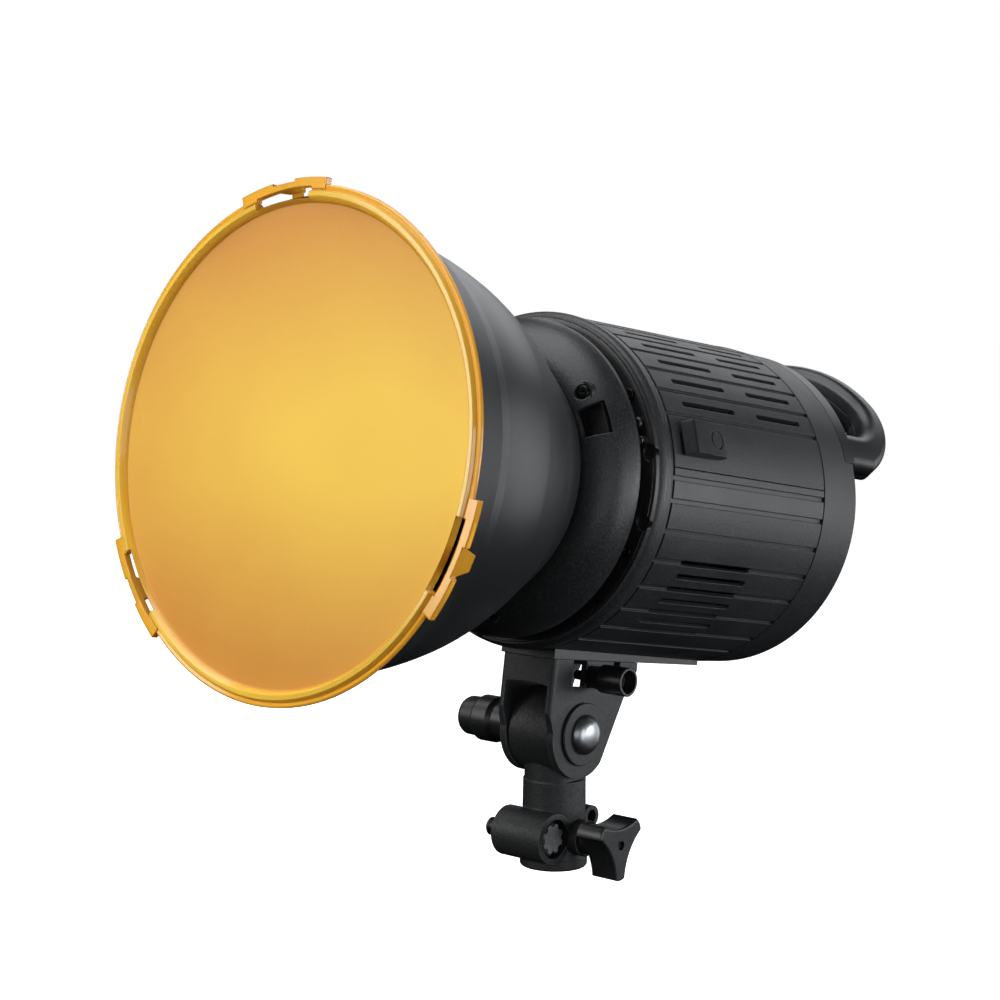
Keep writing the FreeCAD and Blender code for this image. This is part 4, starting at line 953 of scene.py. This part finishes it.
@dataclass(frozen=True)
class DialScale:
    """One dial's printed scale, seen from behind.

    Angles go down from the first tick, in degrees up from the right. A tick is its reach and its
    length, and numbers stand outside the ticks that they belong to.
    """

    middle: Spot
    first: float
    step: float
    ticks: int
    tick: tuple[float, float]
    numbered_tick: tuple[float, float]
    tick_wide: float
    numbers: dict[int, str]
    number_reach: float
    number_size: float


@dataclass
class RearPanel:
    """The control panel with its display, dials, keys, switch and inlet."""

    face: float = 269.42
    module_face: float = 266.92
    brightness: DialScale = DialScale(
        middle=(25.0, -2.0), first=240.0, step=30.0, ticks=11, tick=(13.7, 1.6),
        numbered_tick=(14.2, 2.6), tick_wide=0.45, numbers={0: "0", 5: "50", 10: "100"},
        number_reach=17.9, number_size=3.2)
    channel: DialScale = DialScale(
        middle=(-25.0, -2.0), first=225.0, step=270.0 / 7.0, ticks=8, tick=(10.4, 1.2),
        numbered_tick=(10.4, 1.2), tick_wide=0.4,
        numbers={step: str(step + 1) for step in range(8)}, number_reach=12.9, number_size=2.2)
    panel_words: tuple[Word, ...] = (
        Word("1", (9.5, 2.4), 2.2), Word("2", (0.0, 2.4), 2.2), Word("3", (-9.5, 2.4), 2.2),
        Word("ON", (-33.6, -26.0), 2.2), Word("OFF", (-33.6, -35.6), 2.2))
    display_words: tuple[Word, ...] = (
        Word("100", (-5.5, 27.0), 10.5), Word("1", (14.5, 31.0), 4.6),
        Word("%", (-17.0, 24.8), 4.4), Word("5600", (12.6, 23.4), 4.6))
    rocker_spot: Spot = (-22.0, -31.0)
    rocker_depth: float = 267.5
    rocker_rest: float = 7.0
    rocker_dip: float = 3.7
    rocker_rise: tuple[float, float] = (0.9, 7.3)
    sign_reach: float = 4.0
    sign_size: float = 4.0
    screw_turns: tuple[float, ...] = (10.0, 75.0, 105.0, 170.0, 215.0, 325.0)
    screw_circle: float = 51.0
    screw_seat: float = 269.5
    ink: float = 0.02

    def build(self) -> None:
        """Dresses the panel's nodes."""
        dress_nodes({
            "rear_panel": Finish.PANEL,
            "display_window": Finish.WINDOW, "display_module": Finish.MODULE,
            "control_board": Finish.BOARD, "brightness_dial": Finish.DIAL,
            "channel_dial": Finish.DIAL, "mode_button": Finish.KEY, "group_button": Finish.KEY,
            "test_button": Finish.KEY, "switch_housing": Finish.PANEL,
            "power_rocker": Finish.ROCKER, "power_inlet": Finish.PANEL, "inlet_pins": Finish.BRASS,
        })
        ScrewSet("panel_screws", Body.HEAD,
                 ring_places(self.screw_turns, self.screw_circle, self.screw_seat, 1),
                 head_radius=2.4, head_high=1.3, shank_radius=1.3, shank_long=7.0).build()
        self.print_panel()
        self.light_digits()
        self.mark_rocker()

    def set_letters(self, letters: str, size: float, place: Matrix) -> bpy.types.Object:
        """Sets one word or number.

        Args:
            letters: the letters.
            size: their size in millimetres.
            place: from the word's own millimetres to the row frame.

        Returns:
            The word as a mesh object.
        """
        start_piece()
        bpy.ops.object.text_add(location=(0, 0, 0))
        label = bpy.context.object
        label.data.body = letters
        label.data.size = size
        label.data.align_x = "CENTER"
        label.data.align_y = "CENTER"
        label.data.extrude = self.ink
        bpy.ops.object.convert(target="MESH")
        label = bpy.context.object
        settle(label, place)
        return label

    def on_panel(self, spot: Spot, depth: float, turn: float = 0.0) -> Matrix:
        """Gives the place of a flat mark that is read from behind the lamp.

        Args:
            spot: its middle, as (x, height above the axis).
            depth: the plane's place along the lamp.
            turn: its turn, in degrees.

        Returns:
            The matrix from the mark's millimetres to the row frame.
        """
        seat = Matrix.Translation(Vector((spot[0], depth, spot[1])))
        return LAMP @ seat @ TO_BACK @ Matrix.Rotation(math.radians(turn), 4, "Z")

    def tick(self, length: float, wide: float, place: Matrix) -> bpy.types.Object:
        """Makes one printed tick with rounded corners.

        Args:
            length: along the tick.
            wide: across it.
            place: from the tick's own millimetres to the row frame.

        Returns:
            The tick's object.
        """
        start_piece()
        bpy.ops.mesh.primitive_plane_add(size=1.0)
        mark = bpy.context.object
        mark.scale = (wide, length, 1.0)
        bpy.ops.object.transform_apply(location=True, rotation=True, scale=True)
        bpy.ops.object.mode_set(mode="EDIT")
        bpy.ops.mesh.select_all(action="SELECT")
        bpy.ops.mesh.bevel(offset=wide * 0.35, segments=2, affect="VERTICES")
        bpy.ops.mesh.select_all(action="SELECT")
        bpy.ops.mesh.extrude_region_move(TRANSFORM_OT_translate={"value": (0, 0, self.ink)})
        bpy.ops.object.mode_set(mode="OBJECT")
        settle(mark, place)
        return mark

    def around(self, spot: Spot, reach: float, angle: float) -> Spot:
        """Gives a place round a dial, as seen from behind.

        Args:
            spot: the dial's middle, as (x, height above the axis).
            reach: how far out the place is.
            angle: its angle up from the right.

        Returns:
            The place as (x, height above the axis).
        """
        across, up = turn_to(reach, angle)
        return spot[0] - across, spot[1] + up

    def print_scale(self, scale: DialScale) -> list[bpy.types.Object]:
        """Prints one dial's scale.

        Args:
            scale: the scale.

        Returns:
            Its ticks and numbers.
        """
        marks = []
        for step in range(scale.ticks):
            angle = scale.first - step * scale.step
            reach, length = scale.numbered_tick if step in scale.numbers else scale.tick
            spot = self.around(scale.middle, reach, angle)
            place = self.on_panel(spot, self.face, angle - 90.0)
            marks.append(self.tick(length, scale.tick_wide, place))
            if step in scale.numbers:
                spot = self.around(scale.middle, scale.number_reach, angle)
                place = self.on_panel(spot, self.face)
                marks.append(self.set_letters(scale.numbers[step], scale.number_size, place))
        return marks

    def print_panel(self) -> None:
        """Prints the dials' scales, and the signs of the keys and the switch."""
        marks = self.print_scale(self.brightness) + self.print_scale(self.channel)
        for word in self.panel_words:
            place = self.on_panel(word.middle, self.face)
            marks.append(self.set_letters(word.letters, word.size, place))
        self.hand_over(join_pieces(marks, "panel_marks"), Finish.PRINT, Body.HEAD)

    def light_digits(self) -> None:
        """Lights the level and the channel number behind the display's window."""
        rows = [self.set_letters(word.letters, word.size,
                                 self.on_panel(word.middle, self.module_face))
                for word in self.display_words]
        self.hand_over(join_pieces(rows, "display_digits"), Finish.DIGITS, Body.HEAD)

    def mark_rocker(self) -> None:
        """Puts the on and off signs on the rocker's two sloping faces."""
        across, up = self.rocker_spot
        seat = Matrix.Translation(Vector((across, self.rocker_depth, up)))
        tip = Matrix.Rotation(math.radians(-self.rocker_rest), 4, "X")
        rise, half = self.rocker_rise
        proud = self.rocker_dip + self.sign_reach * rise / half + self.ink
        signs = []
        for sign, along in (("I", self.sign_reach), ("O", -self.sign_reach)):
            face = Matrix.Translation(Vector((0, proud, along)))
            lean = Matrix.Rotation(-math.copysign(math.atan2(rise, half), along), 4, "X")
            place = LAMP @ seat @ tip @ face @ lean @ TO_BACK
            signs.append(self.set_letters(sign, self.sign_size, place))
        self.hand_over(join_pieces(signs, "rocker_signs"), Finish.PRINT, Body.ROCKER)

    def hand_over(self, piece: bpy.types.Object, finish: Finish, body: Body) -> None:
        """Dresses a printed piece and lets it ride on its body.

        Args:
            piece: the object.
            finish: its finish.
            body: the body that carries it.
        """
        dress(piece, finish)
        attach(piece, body.value)
        LOG.info("printed %s", piece.name)


@dataclass
class InnerWorks:
    """The emitter with its glass and sink, the fan and the driver."""

    def build(self) -> None:
        """Dresses the inner nodes."""
        dress_nodes({
            "glass_holder": Finish.BLACK_STEEL, "glass_cover": Finish.GLASS,
            "glass_ring": Finish.ZINC, "led_board": Finish.SINK, "led_emitter": Finish.EMITTER,
            "led_screws": Finish.ZINC, "heat_sink": Finish.SINK, "fan_frame": Finish.FAN,
            "fan_rotor": Finish.FAN, "fan_screws": Finish.ZINC, "driver_board": Finish.BOARD,
            "driver_transformer": Finish.MODULE, "driver_capacitors": Finish.MODULE,
        })


@dataclass
class Bracket:
    """Yoke, pivot, knobs and the stand adapter."""

    def build(self) -> None:
        """Dresses the bracket's nodes."""
        dress_nodes({
            "tilt_yoke": Finish.SHEET, "yoke_screws": Finish.BLACK_STEEL,
            "pivot_bolt": Finish.DARK_BOLT, "near_washer": Finish.SHEET,
            "far_washer": Finish.SHEET, "friction_discs": Finish.FAN, "tilt_knob": Finish.KNOB,
            "tilt_knob_cap": Finish.KNOB, "side_lock_knob": Finish.KNOB,
            "stand_adapter": Finish.CASTING, "cross_bolt": Finish.BLACK_STEEL,
            "cross_nut": Finish.NUT, "clamp_screw": Finish.DARK_BOLT, "clamp_handle": Finish.KNOB,
        })


@dataclass(frozen=True)
class BoxLight:
    """One soft box: its place and size in metres, its power in watts and its colour."""

    place: Triple
    wide: float
    high: float
    power: float
    colour: Triple = (0.94, 0.965, 1.0)


class SoftBox(Enum):
    """Every soft box of the studio."""

    OVERHEAD = BoxLight((-0.3, -0.3, 1.3), 1.2, 1.2, 16.0)
    FRONT_KEY = BoxLight((-0.55, -1.35, 0.75), 1.1, 1.1, 24.0, colour=(1.0, 1.0, 1.0))
    BACK_SHEET = BoxLight((-0.5, 1.6, 1.1), 1.5, 1.0, 7.5)
    RIGHT_REAR = BoxLight((1.45, 0.9, 0.1), 1.2, 0.5, 14.0)
    SIDE_STRIP = BoxLight((1.65, -0.15, 0.1), 0.5, 0.9, 8.0)
    REAR_STRIP = BoxLight((0.5, 1.6, 0.05), 0.3, 0.9, 2.8)
    CAMERA_FILL = BoxLight((1.0, -1.2, 0.25), 0.9, 0.7, 3.5)


@dataclass
class Studio:
    """Pale floor, soft lights and the camera at the photograph's place."""

    eye: Triple = (0.5464, -0.6624, 0.2253)
    right: Triple = (0.75298, 0.65784, 0.01044)
    up: Triple = (-0.0652, 0.0589, 0.9961)
    lens: float = 76.43
    sensor: float = 36.0
    floor_level: float = -0.12
    floor_wide: float = 60.0
    aim: Triple = (0.0, 0.0, 0.13)

    def build(self) -> None:
        """Makes the floor, the lights, the sky and the camera."""
        self.make_floor()
        self.make_lights()
        self.make_camera()

    def make_floor(self) -> None:
        """Makes a wide pale floor that isn't part of the object."""
        bpy.ops.object.select_all(action="DESELECT")
        bpy.ops.mesh.primitive_plane_add(size=self.floor_wide,
                                         location=(0, 0, self.floor_level))
        floor = bpy.context.object
        floor.name = "studio_floor"
        s = Shader("studio_floor")
        s.set(Base_Color=(0.9, 0.9, 0.9, 1.0), Roughness=0.9, Emission_Color=(1.0, 1.0, 1.0, 1.0),
              Emission_Strength=1.0)
        floor.data.materials.append(s.material)
        floor.visible_diffuse = False
        floor.visible_glossy = False
        floor.visible_shadow = False

    def make_lights(self) -> None:
        """Makes the soft boxes and the white surroundings, which only the camera sees."""
        scene = bpy.context.scene
        scene.view_settings.view_transform = "Standard"
        world = bpy.data.worlds.new("studio")
        scene.world = world
        world.use_nodes = True
        background = world.node_tree.nodes["Background"]
        background.inputs["Color"].default_value = (1, 1, 1, 1)
        background.inputs["Strength"].default_value = 1.0
        world.cycles_visibility.diffuse = False
        world.cycles_visibility.glossy = False
        for box in SoftBox:
            self.make_box(box.name.lower(), box.value)

    def make_box(self, name: str, box: BoxLight) -> None:
        """Makes one soft box, aimed at the middle of the object.

        Args:
            name: its name in the scene.
            box: its place, size, power and colour.
        """
        light = bpy.data.lights.new(name, "AREA")
        light.shape = "RECTANGLE"
        light.size = box.wide
        light.size_y = box.high
        light.energy = box.power
        light.color = box.colour
        holder = bpy.data.objects.new(name, light)
        bpy.context.scene.collection.objects.link(holder)
        holder.location = box.place
        aim = Vector(self.aim) - Vector(box.place)
        holder.rotation_euler = aim.to_track_quat("-Z", "Y").to_euler()
        holder.visible_camera = False

    def make_camera(self) -> None:
        """Makes the camera at the photograph's viewing angle."""
        view = bpy.data.cameras.new("camera")
        view.lens = self.lens
        view.sensor_width = self.sensor
        view.clip_start = 0.01
        view.clip_end = 100.0
        camera = bpy.data.objects.new("camera", view)
        bpy.context.scene.collection.objects.link(camera)
        right = Vector(self.right).normalized()
        up = Vector(self.up)
        up = (up - right * up.dot(right)).normalized()
        back = right.cross(up)
        turn = Matrix((right, up, back)).transposed().to_4x4()
        camera.matrix_world = Matrix.Translation(Vector(self.eye)) @ turn
        bpy.context.scene.camera = camera


def main() -> None:
    """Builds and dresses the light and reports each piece."""
    logging.basicConfig(level=logging.INFO, format="%(message)s")
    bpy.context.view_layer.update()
    for kit in (Reflector(), LampBody(), RearPanel(), InnerWorks(), Bracket(), Studio()):
        kit.build()


if __name__ == "__main__":
    main()
